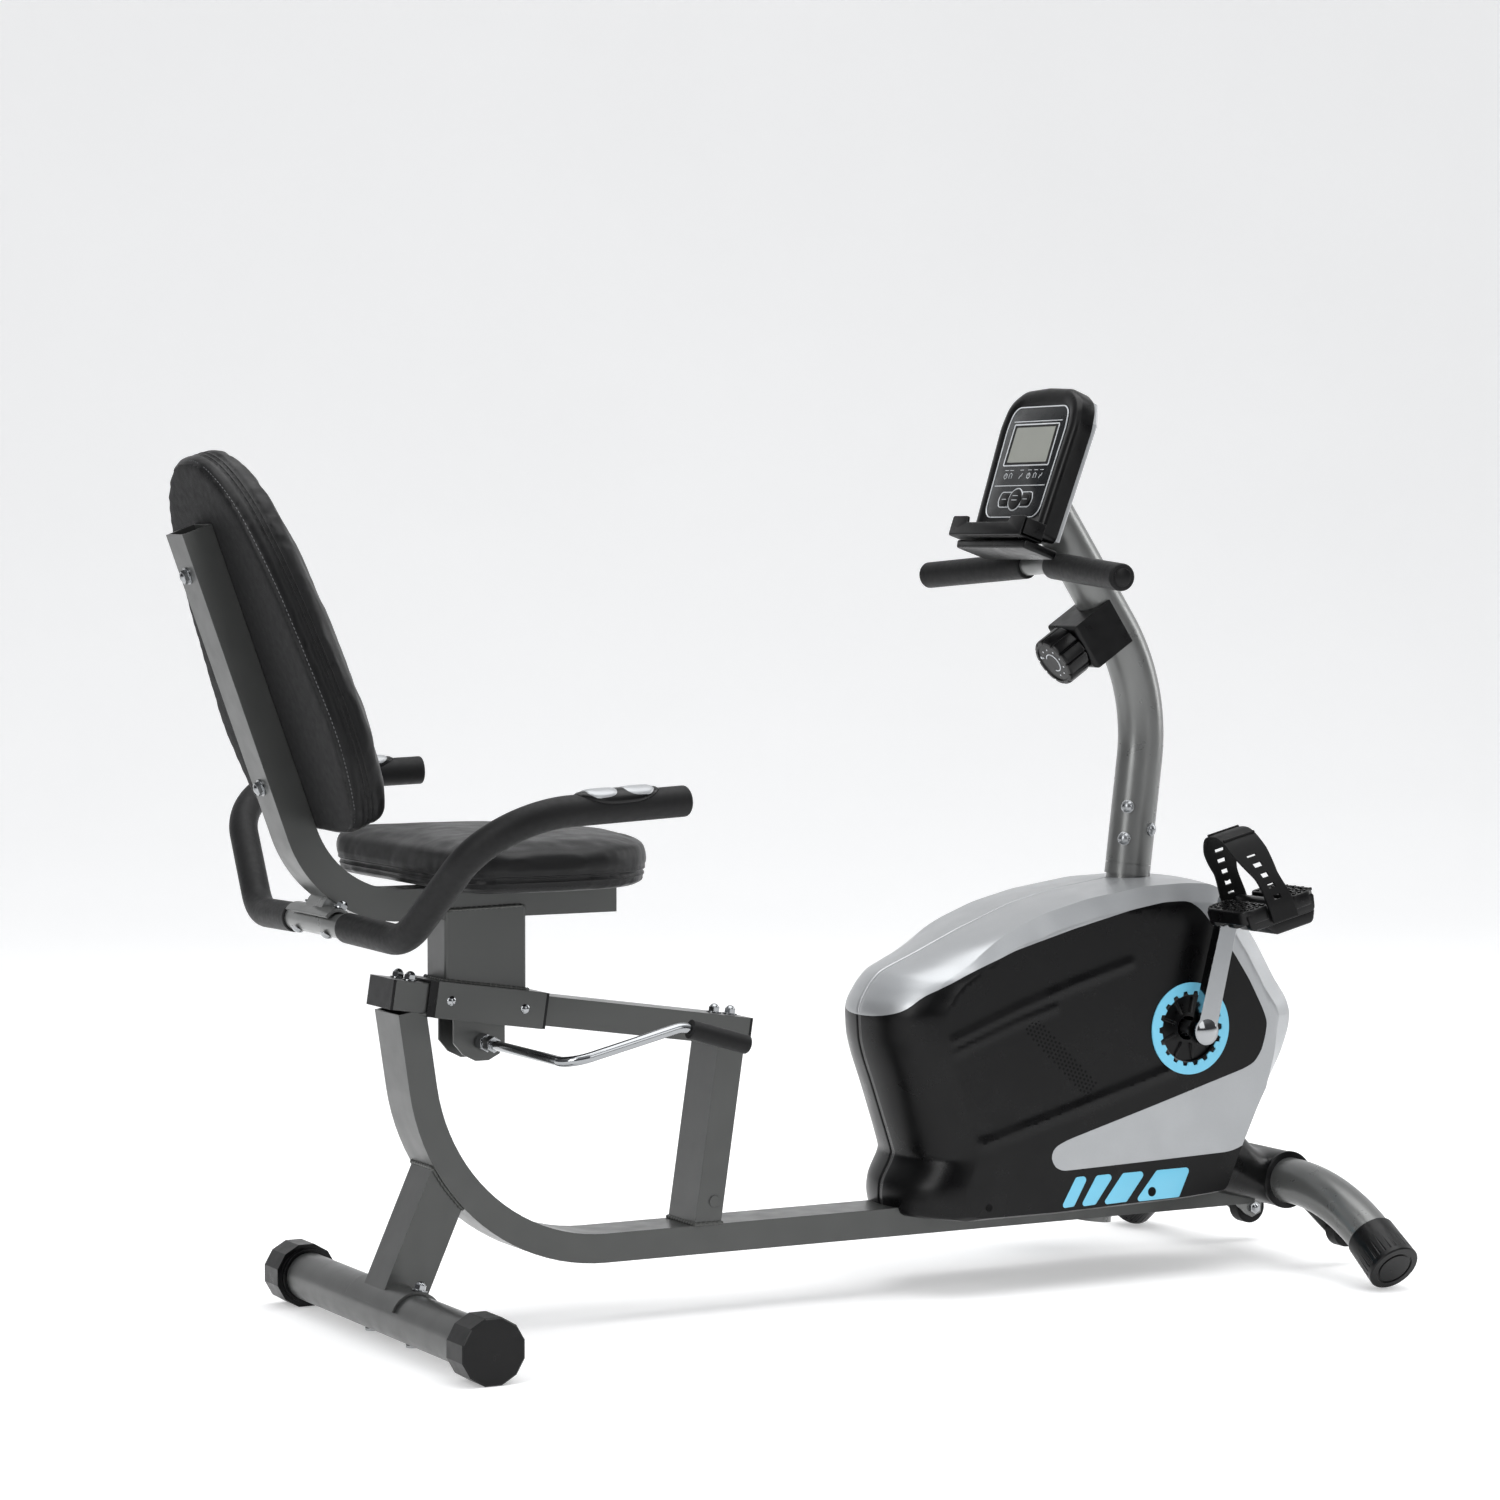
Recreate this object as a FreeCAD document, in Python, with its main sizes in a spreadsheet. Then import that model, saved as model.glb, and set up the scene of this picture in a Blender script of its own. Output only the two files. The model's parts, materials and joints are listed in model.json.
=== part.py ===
import FreeCAD, Part
import math
import os
from FreeCAD import Vector, Placement, Rotation, Matrix

# Recumbent exercise bike.  Millimetres.  +X is forward (towards the pedals),
# +Y is the rider's left, +Z is up.  Z = 0 is the floor.  The pieces are laid
# out from the axis of the rear floor tube, and every placement then moves
# them by -x_shift, so that the origin is under the middle of the machine.

os.makedirs("parts", exist_ok=True)
doc = FreeCAD.newDocument("recumbent_bike")
sheet = doc.addObject("Spreadsheet::Sheet", "Params")
sheet.Label = "Params"

PARAMS = [
    ("x_shift", 453.73), ("frame_w", 60), ("frame_t", 30), ("wall", 2.0),
    ("base_z", 79.5), ("arc_x", 228.5), ("arc_rad", 204.5), ("rail_angle", 8.5),
    ("rail_x", -7.2), ("rail_z", 351.1), ("rail_len", 408), ("plug_t", 3),
    ("round_od", 50), ("rear_z", 32.6), ("rear_half", 252.5), ("cap_len", 38),
    ("cap_in", 32.6), ("leg_angle", 24), ("leg_w", 50), ("leg_d", 47),
    ("front_x", 1056), ("front_z", 93), ("front_flat", 72), ("front_rad", 258),
    ("front_drop", 34), ("front_cap_rad", 29), ("front_cap_len", 50),
    ("post_s", 386.5), ("mast_lean", 7.0), ("mast_back", 33.7),
    ("mast_corner_x", 905.9), ("mast_corner_z", 640.8), ("mast_rad", 215),
    ("mast_foot", 447), ("stub_od", 45.6), ("carriage_s", 47.5),
    ("carriage_len", 119.5), ("carriage_gap", 1.5), ("carriage_wall", 2.0),
    ("seat_post_x", 53.5), ("seat_post_len", 89), ("seat_post_w", 50),
    ("beam_z", 438.5), ("beam_w", 45), ("beam_t", 32), ("beam_end", 244.4),
    ("back_angle", 19.8), ("back_corner_x", -71.7), ("back_rad", 111.5),
    ("back_len", 395), ("seat_z", 459), ("seat_rear", 5), ("seat_front", 262),
    ("seat_half", 185), ("seat_edge_t", 36), ("seat_crown", 20),
    ("handle_od", 25), ("foam_od", 30), ("grip_half", 309),
    ("crank_x", 906.7), ("crank_z", 272.5), ("crank_len", 141),
    ("crank_angle", 14), ("arm_in", 104), ("arm_t", 13), ("axle_rad", 8.5),
    ("bb_rad", 20), ("bb_half", 34), ("pedal_in", 128), ("pedal_w", 78),
    ("pedal_tilt", 14), ("cover_half", 85), ("cover_wall", 3),
    ("pulley_rad", 88), ("belt_w", 14), ("belt_y", 48), ("fly_x", 712),
    ("fly_z", 226), ("fly_rad", 98), ("fly_w", 18), ("fly_pulley_rad", 17.6),
    ("wheel_x", 1108), ("wheel_z", 38.5), ("wheel_rad", 18.5), ("wheel_w", 20),
    ("wheel_y", 92), ("bar_od", 22), ("bar_foam_od", 29), ("bar_half", 191.6),
    ("console_x", 747.5), ("console_z", 882.1), ("console_tilt", 19),
    ("console_t", 30), ("knob_rad", 28), ("knob_len", 28),
    ("lever_y", 226), ("lever_x", 92.6), ("lever_z", 298), ("lever_od", 10),
]
for i, (name, value) in enumerate(PARAMS, 1):
    sheet.set("A%d" % i, name)
    sheet.set("B%d" % i, str(value))
    sheet.setAlias("B%d" % i, name)
doc.recompute()


def P(name):
    return float(sheet.get(name))


XS = P("x_shift")
NODES = []
YDIR = Vector(0, 1, 0)
rad = math.radians


def frame_at(origin, x_axis, z_axis):
    """Placement with the given local X and Z directions, in machine coordinates."""
    x = Vector(x_axis).normalize()
    z = Vector(z_axis).normalize()
    y = z.cross(x)
    m = Matrix(x.x, y.x, z.x, origin[0] - XS, x.y, y.y, z.y, origin[1],
               x.z, y.z, z.z, origin[2], 0, 0, 0, 1)
    return Placement(m)


def at(x=0, y=0, z=0):
    return Placement(Vector(x - XS, y, z), Rotation())


def node(label, obj):
    obj.Label = label
    NODES.append((label, obj))
    return obj


def feature(label, shape, placement=None, keep=True):
    """A sub-part whose shape is worked out directly, in machine coordinates."""
    o = doc.addObject("Part::Feature", label)
    o.Shape = shape
    o.Placement = placement or at()
    if keep:
        node(label, o)
    return o


# ---------------------------------------------------------------- sketch helpers
def plane(body, role):
    return [f for f in body.Origin.OriginFeatures if f.Role == role][0]


def new_body(label, placement):
    b = doc.addObject("PartDesign::Body", label)
    b.Placement = placement
    return node(label, b)


def sketch(body, role, offset=0.0):
    s = body.newObject("Sketcher::SketchObject", body.Name + "_sketch")
    s.AttachmentSupport = [(plane(body, role), "")]
    s.MapMode = "FlatFace"
    s.AttachmentOffset = Placement(Vector(0, 0, offset), Rotation())
    return s


def add_rect(s, w_expr, h_expr):
    """Centred rectangle, width along the sketch's X, height along its Y."""
    import Sketcher
    n = s.GeometryCount
    pts = [Vector(-10, -8, 0), Vector(10, -8, 0), Vector(10, 8, 0), Vector(-10, 8, 0)]
    for k in range(4):
        s.addGeometry(Part.LineSegment(pts[k], pts[(k + 1) % 4]), False)
    for k in range(4):
        s.addConstraint(Sketcher.Constraint("Coincident", n + k, 2, n + (k + 1) % 4, 1))
    s.addConstraint(Sketcher.Constraint("Horizontal", n))
    s.addConstraint(Sketcher.Constraint("Horizontal", n + 2))
    s.addConstraint(Sketcher.Constraint("Vertical", n + 1))
    s.addConstraint(Sketcher.Constraint("Vertical", n + 3))
    s.addConstraint(Sketcher.Constraint("Symmetric", n, 1, n + 1, 2, -1, 1))
    i = s.addConstraint(Sketcher.Constraint("DistanceX", n, 1, n, 2, 20))
    s.setExpression("Constraints[%d]" % i, w_expr)
    i = s.addConstraint(Sketcher.Constraint("DistanceY", n + 1, 1, n + 1, 2, 16))
    s.setExpression("Constraints[%d]" % i, h_expr)


def add_circle(s, r_expr, r0=10.0):
    import Sketcher
    n = s.GeometryCount
    s.addGeometry(Part.Circle(Vector(0, 0, 0), Vector(0, 0, 1), r0), False)
    s.addConstraint(Sketcher.Constraint("Coincident", n, 3, -1, 1))
    i = s.addConstraint(Sketcher.Constraint("Radius", n, r0))
    s.setExpression("Constraints[%d]" % i, r_expr)


def pad(body, sk, length_expr, both=False):
    p = body.newObject("PartDesign::Pad", body.Name + "_pad")
    p.Profile = sk
    p.setExpression("Length", length_expr)
    if both:
        try:
            p.SideType = 2
        except Exception:
            p.Midplane = True
    return p


def rect_tube(label, placement, w_expr, h_expr, length_expr, wall="Params.wall"):
    """Rectangular tube padded along the local Z."""
    b = new_body(label, placement)
    s = sketch(b, "XY_Plane")
    add_rect(s, w_expr, h_expr)
    add_rect(s, "%s - 2 * %s" % (w_expr, wall), "%s - 2 * %s" % (h_expr, wall))
    pad(b, s, length_expr)
    return b


def round_tube(label, placement, r_expr, ri_expr, length_expr):
    b = new_body(label, placement)
    s = sketch(b, "XY_Plane")
    add_circle(s, r_expr, 20)
    if ri_expr:
        add_circle(s, ri_expr, 10)
    pad(b, s, length_expr)
    return b


# ---------------------------------------------------------------- shape helpers
def rounded_path(points, radii):
    """Wire of straight runs joined by tangent arcs."""
    pts = [Vector(*p) for p in points]
    edges, cur = [], pts[0]
    for k in range(1, len(pts) - 1):
        a = (pts[k - 1] - pts[k]).normalize()
        b = (pts[k + 1] - pts[k]).normalize()
        half = a.getAngle(b) / 2.0
        tlen = radii[k - 1] / math.tan(half)
        p1 = pts[k] + a * tlen
        p2 = pts[k] + b * tlen
        bis = (a + b).normalize()
        centre = pts[k] + bis * (radii[k - 1] / math.sin(half))
        mid = centre - bis * radii[k - 1]
        if (p1 - cur).Length > 1e-6:
            edges.append(Part.LineSegment(cur, p1).toShape())
        edges.append(Part.Arc(p1, mid, p2).toShape())
        cur = p2
    edges.append(Part.LineSegment(cur, pts[-1]).toShape())
    return Part.Wire(edges)


def pipe(path, profile):
    return path.makePipeShell([profile], True, True)


def circle_wire(centre, normal, r):
    return Part.Wire([Part.Circle(Vector(*centre), Vector(*normal), r).toShape()])


def round_pipe(points, radii, r, ri=0):
    path = rounded_path(points, radii)
    d = Vector(*points[1]) - Vector(*points[0])
    s = pipe(path, circle_wire(points[0], d, r))
    if ri:
        s = s.cut(pipe(path, circle_wire(points[0], d, ri)))
    return s


def rect_wire(origin, u, v, w, h):
    """Rectangle w along u and h along v, centred on origin."""
    o, u, v = Vector(*origin), Vector(*u).normalize(), Vector(*v).normalize()
    c = [o + u * (sx * w / 2.0) + v * (sy * h / 2.0)
         for sx, sy in ((-1, -1), (1, -1), (1, 1), (-1, 1), (-1, -1))]
    return Part.makePolygon(c)


def cyl(p0, p1, r):
    a, b = Vector(*p0), Vector(*p1)
    return Part.makeCylinder(r, (b - a).Length, a, b - a)


def hexagon(centre, axis, r, length, n=6, roll=0.0):
    """Prism with n sides, corner radius r, starting at centre along axis."""
    ax = Vector(*axis).normalize()
    ref = Vector(0, 1, 0) if abs(ax.y) < 0.9 else Vector(1, 0, 0)
    u = ax.cross(ref).normalize()
    v = ax.cross(u)
    pts = []
    for k in range(n + 1):
        a = 2 * math.pi * k / n + roll
        pts.append(Vector(*centre) + u * (r * math.cos(a)) + v * (r * math.sin(a)))
    return Part.Face(Part.makePolygon(pts)).extrude(ax * length)


def polygon_prism(points_xz, y0, y1):
    """Extrude a polygon of (x, z) points from y0 to y1."""
    w = Part.makePolygon([Vector(x, y0, z) for x, z in points_xz] +
                         [Vector(points_xz[0][0], y0, points_xz[0][1])])
    return Part.Face(w).extrude(Vector(0, y1 - y0, 0))


def mirror_y(shape):
    return shape.mirror(Vector(0, 0, 0), Vector(0, 1, 0))


def compound(shapes):
    return Part.makeCompound(shapes)


def both_sides(shape):
    return compound([shape, mirror_y(shape)])


def dome(centre, axis, r, h):
    """Low domed head: a slice of a ball with base radius r and height h."""
    big = (r * r + h * h) / (2.0 * h)
    ax = Vector(*axis).normalize()
    c = Vector(*centre) - ax * (big - h)
    ball = Part.makeSphere(big, c)
    return ball.common(Part.makeCylinder(r * 1.02, h * 1.2, Vector(*centre), ax))


def acorn(centre, axis, r=6.2):
    """Washer, hexagon and dome stacked along axis."""
    ax = Vector(*axis).normalize()
    c = Vector(*centre)
    w = Part.makeCylinder(r * 1.25, 1.4, c, ax)
    h_ = hexagon(c + ax * 1.4, ax, r, 4.6)
    d = dome(c + ax * 6.0, ax, r * 0.8, 3.6)
    return w.fuse(h_).fuse(d).removeSplitter()


# directions along and across the seat rail
ra = rad(P("rail_angle"))
RD = Vector(math.cos(ra), 0, -math.sin(ra))
RN = Vector(math.sin(ra), 0, math.cos(ra))
R0 = Vector(P("rail_x"), 0, P("rail_z"))


def rail_point(s, y=0.0, n=0.0):
    return R0 + RD * s + Vector(0, y, 0) + RN * n


FW, FT, WALL = P("frame_w"), P("frame_t"), P("wall")
RO = P("round_od") / 2.0

# ================================================================ frame
# main frame: base tube, large arc and short riser under the rear of the rail
ax_, ar = P("arc_x"), P("arc_rad")
zc = P("base_z") + ar
start = Vector(P("front_x") - RO + 1.5, 0, P("base_z"))
a0 = Vector(ax_, 0, P("base_z"))
a1 = Vector(ax_ - ar * math.cos(ra), 0, zc - ar * math.sin(ra))
mid_ang = (math.pi / 2 + ra) / 2.0
am = Vector(ax_ - ar * math.sin(math.pi / 2 - mid_ang + 0.0), 0, 0)
ang_mid = rad(-90) - (rad(90) - ra) / 2.0
am = Vector(ax_ + ar * math.cos(ang_mid), 0, zc + ar * math.sin(ang_mid))
t_up = ((-FT / 2.0) - ((a1 - R0).dot(RN))) / RN.dot(RN)
top = a1 + RN * 0 + Vector(-math.sin(ra), 0, math.cos(ra)) * \
    (((-FT / 2.0) - (a1 - R0).dot(RN)) / Vector(-math.sin(ra), 0, math.cos(ra)).dot(RN))
spine = Part.Wire([Part.LineSegment(start, a0).toShape(), Part.Arc(a0, am, a1).toShape(),
                   Part.LineSegment(a1, top).toShape()])
outer = pipe(spine, rect_wire(start, (0, 1, 0), (0, 0, 1), FW, FT))
inner = pipe(spine, rect_wire(start, (0, 1, 0), (0, 0, 1), FW - 2 * WALL, FT - 2 * WALL))
main = outer.cut(inner)
cut_box = Part.makeBox(200, 100, 60)
cut_box.Placement = Placement(frame_at(rail_point(-60, -50, -FT / 2.0), RD, RN).Base + Vector(XS, 0, 0),
                              frame_at((0, 0, 0), RD, RN).Rotation)
main = main.cut(cut_box)
upright_dir = Vector(math.sin(rad(P("mast_lean"))), 0, math.cos(rad(P("mast_lean"))))
MC = Vector(P("mast_corner_x"), 0, P("mast_corner_z"))


def mast_low(z):
    return MC + upright_dir * ((z - MC.z) / upright_dir.z)


hole_p = mast_low(40)
main = main.cut(Part.makeCylinder(P("stub_od") / 2.0 + 0.15, 100, hole_p, upright_dir))
main = main.cut(Part.makeCylinder(RO + 0.15, 300, Vector(P("front_x"), -150, P("front_z")), YDIR))
feature("main_frame", main)

# rear leg: tube from the rear floor tube up to the arc, with a curved saddle plate welded on
la = rad(P("leg_angle"))
LD = Vector(math.sin(la), 0, math.cos(la))
leg0 = Vector(0, 0, P("rear_z"))
lw, ld = P("leg_w"), P("leg_d")
ux = Vector(math.cos(la), 0, -math.sin(la))


def leg_tube(w, d, length):
    f = Part.Face(rect_wire(leg0, (0, 1, 0), (ux.x, 0, ux.z), w, d))
    return f.extrude(LD * length)


leg = leg_tube(lw, ld, 200).cut(leg_tube(lw - 2 * WALL, ld - 2 * WALL, 200))
arc_block = Part.makeCylinder(ar + FT / 2.0 + 0.1, 100, Vector(ax_, -50, zc), YDIR)
leg = leg.cut(arc_block)
leg = leg.cut(Part.makeCylinder(RO + 0.2, 200, Vector(0, -100, P("rear_z")), YDIR))
above = Part.makeBox(400, 200, 400, Vector(-150, -100, P("rear_z")))
leg = leg.common(above)
saddle = Part.makeCylinder(RO + 3.2, 118, Vector(0, -70, P("rear_z")), YDIR, 360)
saddle = saddle.cut(Part.makeCylinder(RO + 0.2, 118, Vector(0, -70, P("rear_z")), YDIR))
saddle = saddle.common(polygon_prism([(0, P("rear_z")), (-36, P("rear_z") + 14), (-36, 90), (40, 90), (40, P("rear_z") + 14)], -80, 80))
feature("rear_leg", leg.fuse(saddle).removeSplitter())

# floor tubes
rt = round_tube("rear_stabilizer", frame_at((0, -(P("rear_half") - 5), P("rear_z")), (1, 0, 0), (0, 1, 0)),
                "Params.round_od / 2", "Params.round_od / 2 - Params.wall", "2 * Params.rear_half - 10")


def twelve_cap(side):
    """End cap with twelve flats, flat side down, and a short round collar."""
    r = P("cap_in") / math.cos(math.pi / 12)
    y_in = P("rear_half") - P("cap_len")
    body = hexagon((0, side * P("rear_half"), P("rear_z")), (0, -side, 0), r, P("cap_len"), 12, math.pi / 12)
    body = body.makeChamfer(1.6, [e for e in body.Edges
                                  if all(abs(abs(v.Point.y) - P("rear_half")) < 1e-3 for v in e.Vertexes)])
    collar = Part.makeCylinder(RO + 3.4, 7, Vector(0, side * (y_in - 7), P("rear_z")), Vector(0, side, 0))
    body = body.fuse(collar)
    bore = Part.makeCylinder(RO + 0.1, P("cap_len") + 7 - 5, Vector(0, side * (y_in - 7), P("rear_z")), Vector(0, side, 0))
    return body.cut(bore).removeSplitter()


feature("rear_end_caps", compound([twelve_cap(-1), twelve_cap(1)]))

# front floor tube: flat in the middle, curved down to both ends
fx, fz = P("front_x"), P("front_z")
fa = rad(P("front_drop"))
fr = P("front_rad")
flat = P("front_flat")
tan_len = fr * math.tan(fa / 2.0)
end_z = P("front_cap_rad") * math.cos(fa)
corner_y = flat + tan_len
run = (fz - end_z) / math.sin(fa)
FE = Vector(fx, corner_y + run * math.cos(fa), end_z)
FDIR = Vector(0, math.cos(fa), -math.sin(fa))
tube_end = FE - FDIR * 6
pts = [(fx, -tube_end.y, tube_end.z), (fx, -corner_y, fz), (fx, corner_y, fz), (fx, tube_end.y, tube_end.z)]
front_tube = round_pipe(pts, [fr, fr], RO, RO - WALL)
wx, wz, wy = P("wheel_x"), P("wheel_z"), P("wheel_y")


def wheel_bracket(side):
    """Two cheek plates that hold one transport wheel in front of the floor tube."""
    out = []
    for off in (-P("wheel_w") / 2.0 - 3.5, P("wheel_w") / 2.0 + 1.0):
        y0 = side * wy + off
        plate = polygon_prism([(fx + 8, fz + 2), (fx + 24, fz + 8), (wx + 11, wz + 6), (wx + 10, wz - 6),
                               (wx - 2, wz - 11), (wx - 12, wz - 6), (fx + 2, fz - 24)], y0, y0 + 2.5)
        plate = plate.cut(Part.makeCylinder(4.1, 20, Vector(wx, y0 - 5, wz), YDIR))
        out.append(plate)
    return out


cheeks = wheel_bracket(-1) + wheel_bracket(1)
solid_front = round_pipe(pts, [fr, fr], RO)
cheeks = [c.cut(solid_front) for c in cheeks]
fs = front_tube
for c in cheeks:
    fs = fs.fuse(c)
feature("front_stabilizer", fs.removeSplitter())


def front_cap(side):
    d = Vector(0, FDIR.y * side, FDIR.z)
    end = Vector(FE.x, FE.y * side, FE.z)
    L, r = P("front_cap_len"), P("front_cap_rad")
    s0 = end - d * L
    body = Part.makeCone(r - 1.6, r, L, s0, d)
    body = body.makeChamfer(1.2, [e for e in body.Edges if len(e.Vertexes) == 1 and
                                  abs((e.Vertexes[0].Point - end).dot(d)) < 1e-3])
    for k in range(28):
        a = 2 * math.pi * k / 28
        u = Vector(1, 0, 0)
        v = d.cross(u)
        p = s0 + (u * math.cos(a) + v * math.sin(a)) * (r + 0.5)
        body = body.cut(Part.makeCylinder(1.5, L - 6, p, d))
    body = body.cut(Part.makeCylinder(RO + 0.1, L - 6, s0, d))
    ring = Part.makeCylinder(r - 8, 1.2, end - d * 1.2, d).cut(Part.makeCylinder(r - 11, 1.2, end - d * 1.2, d))
    return body.cut(ring)


feature("front_end_caps", compound([front_cap(-1), front_cap(1)]))

# seat rail and its front support post
rect_tube("seat_rail", frame_at(rail_point(P("plug_t")), (0, 1, 0), RD),
          "Params.frame_w", "Params.frame_t", "Params.rail_len - 2 * Params.plug_t")
plugs = []
for s0, sgn in ((0, 1), (P("rail_len"), -1)):
    pl = Part.Face(rect_wire(rail_point(s0), (0, 1, 0), (RN.x, 0, RN.z), FW, FT)).extrude(RD * (sgn * P("plug_t")))
    pi_ = Part.Face(rect_wire(rail_point(s0 + sgn * P("plug_t")), (0, 1, 0), (RN.x, 0, RN.z), FW - 2 * WALL - 0.6, FT - 2 * WALL - 0.6)).extrude(RD * (sgn * 14))
    plugs.append(pl.fuse(pi_).removeSplitter())
feature("rail_end_caps", compound(plugs))

pt = rail_point(P("post_s"), 0, -FT / 2.0)
pl_len = (pt.z - (P("base_z") + FT / 2.0)) / RN.z


def post_tube(w, t):
    f = Part.Face(rect_wire(pt, (0, 1, 0), (RD.x, 0, RD.z), w, t))
    return f.extrude(RN * -(pl_len + 20))


post = post_tube(FW, FT).cut(post_tube(FW - 2 * WALL, FT - 2 * WALL))
post = post.cut(Part.makeBox(400, 100, 100, Vector(200, -50, P("base_z") + FT / 2.0 - 100)))
plug_c = Vector(P("rail_x") + 0, 0, 0)
ph = rail_point(P("post_s"), 0, -FT / 2.0) - RN * (pl_len - 24)
plug = Part.makeCylinder(6, 1.6, Vector(ph.x + 4, -FW / 2.0, ph.z), Vector(0, -1, 0))
feature("front_support_post", post.fuse(plug).removeSplitter())

# fasteners of the frame: acorn nuts on washers, and round bolt heads
fast = []
for s_, y_ in ((23.5, -15), (23.5, 15), (377, 0), (396, 0)):
    fast.append(acorn(rail_point(s_, y_, FT / 2.0), RN))
for y_ in (-62, 40):
    d_ = Vector(0.25, 0, 1).normalize()
    fast.append(acorn(Vector(0, y_, P("rear_z")) + d_ * (RO + 3.3), d_))
    dn = Vector(0.0, 0, -1)
    c = Vector(0, y_, P("rear_z") - RO - 0.1)
    fast.append(Part.makeCylinder(7.5, 2.6, Vector(0, y_, P("rear_z") - RO - 0.2), dn))
# transport wheel axle bolts
for side in (-1, 1):
    y0 = side * wy
    L = P("wheel_w") / 2.0 + 3.5
    shaft = Part.makeCylinder(4.0, 2 * L, Vector(wx, y0 - L, wz), YDIR)
    fast.append(shaft.fuse(hexagon((wx, y0 - L, wz), (0, -1, 0), 7, 4)).fuse(dome((wx, y0 - L - 4, wz), (0, -1, 0), 5, 2.5))
                .fuse(hexagon((wx, y0 + L, wz), (0, 1, 0), 7, 4)).removeSplitter())
feature("frame_bolts", compound(fast))

# upright tube: passes through the base tube and carries the mast
zb = P("base_z") - FT / 2.0
lo, hi = mast_low(zb - 7), mast_low(P("mast_foot") + 75)
upr = Part.makeCylinder(P("stub_od") / 2.0, (hi - lo).Length, lo, upright_dir)
upr = upr.cut(Part.makeCylinder(P("stub_od") / 2.0 - WALL, (hi - lo).Length - 4, lo + upright_dir * 4, upright_dir))
cone = Part.makeCylinder(RO, 12, mast_low(P("mast_foot") - 12.3), upright_dir)
cone = cone.cut(Part.makeCylinder(P("stub_od") / 2.0, 12, mast_low(P("mast_foot") - 12.3), upright_dir))
bbc = Vector(P("crank_x"), 0, P("crank_z"))
upr = upr.fuse(cone)
upr = upr.cut(Part.makeCylinder(P("bb_rad") + 0.15, 200, Vector(bbc.x, -100, bbc.z), YDIR))
feature("upright_tube", upr.removeSplitter())

# mast: round tube, leans forward and then bends back to the rider
mb = rad(P("mast_back"))
MU = Vector(-math.sin(mb), 0, math.cos(mb))
ct = rad(P("console_tilt"))
CU = Vector(math.sin(ct), 0, math.cos(ct))
CN = Vector(-math.cos(ct), 0, math.sin(ct))
C0 = Vector(P("console_x"), 0, P("console_z"))


def cpoint(v, y=0.0, n=0.0):
    """Point on the console: v up its face, y across, n out of its face."""
    return C0 + CU * v + Vector(0, y, 0) + CN * n


CT = P("console_t")
tm = (-CT - 4.0 - (MC - C0).dot(CN)) / MU.dot(CN)
mast_top = MC + MU * tm
foot = mast_low(P("mast_foot"))
mast = round_pipe([tuple(foot), tuple(MC), tuple(mast_top + MU * 30)], [P("mast_rad")], RO, P("stub_od") / 2.0 + 0.1)
trim = Part.makeBox(120, 200, 120)
trim.Placement = Placement(Matrix(CU.x, 0, CN.x, (cpoint(-90, -100, -CT - 4.0)).x, CU.y, 1, CN.y, -100,
                                  CU.z, 0, CN.z, cpoint(-90, -100, -CT - 4.0).z, 0, 0, 0, 1))
trim_face = Part.Face(rect_wire(cpoint(0, 0, -CT - 4.0), (CU.x, 0, CU.z), (0, 1, 0), 400, 300)).extrude(CN * 120)
mast = mast.cut(trim_face)
plate = Part.Face(rect_wire(mast_top + CU * 2, (CU.x, 0, CU.z), (0, 1, 0), 66, 62)).extrude(CN * 3.6)
mast = mast.fuse(plate)
bar_pts = [(744, -P("bar_half") + 1.0, 762), (771, 0, 775), (744, P("bar_half") - 1.0, 762)]
bar_cut = round_pipe(bar_pts, [60], P("bar_od") / 2.0 + 0.15)
feature("mast", mast.cut(bar_cut).removeSplitter())
mb_list = []
for z_, ang in ((473, -2.45), (508, -2.45), (486, -1.15)):
    c_ = mast_low(z_)
    side_x = upright_dir.cross(YDIR).normalize()
    d_ = Vector(math.cos(ang), math.sin(ang), 0)
    d_ = (d_ - upright_dir * d_.dot(upright_dir)).normalize()
    s_ = c_ + d_ * (RO - 1.2)
    m_ = Part.makeCylinder(7.2, 2.6, s_, d_).fuse(dome(s_ + d_ * 2.6, d_, 6.6, 3.2))
    mb_list.append(m_.cut(round_pipe([tuple(foot), tuple(MC), tuple(mast_top)], [P("mast_rad")], RO + 0.02)))
feature("mast_bolts", compound(mb_list))

# console handlebar with foam grips
bar = round_pipe(bar_pts, [60], P("bar_od") / 2.0, P("bar_od") / 2.0 - 1.5)
feature("console_handlebar", bar)


def bar_foam(side):
    a = Vector(*bar_pts[1])
    b = Vector(744, side * (P("bar_half") - 1.0), 762)
    d = (b - a).normalize()
    s0 = a + d * 27
    f = Part.makeCylinder(P("bar_foam_od") / 2.0, (b - s0).Length + 5, s0, d)
    f = f.makeFillet(2.5, [e for e in f.Edges if len(e.Vertexes) == 1 and (e.Vertexes[0].Point - b).dot(d) > 1])
    return f.cut(Part.makeCylinder(P("bar_od") / 2.0 + 0.1, (b - s0).Length + 0.3, s0, d))


feature("handlebar_foam_grips", compound([bar_foam(-1), bar_foam(1)]))

# ================================================================ console
def console_outline(inset=0.0, v0=-84.0):
    """Rounded upper corners, sides that draw in towards the foot."""
    pts2 = [(-70 + inset, v0 + inset), (70 - inset, v0 + inset), (77 - inset, 52), (66 - inset, 76),
            (46 - inset * 0.6, 86 - inset), (0, 89 - inset), (-46 + inset * 0.6, 86 - inset), (-66 + inset, 76), (-77 + inset, 52)]
    return pts2


def console_face(pts2, n):
    v = [cpoint(b, a, n) for a, b in pts2]
    return Part.Face(Part.makePolygon(v + [v[0]]))


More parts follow.
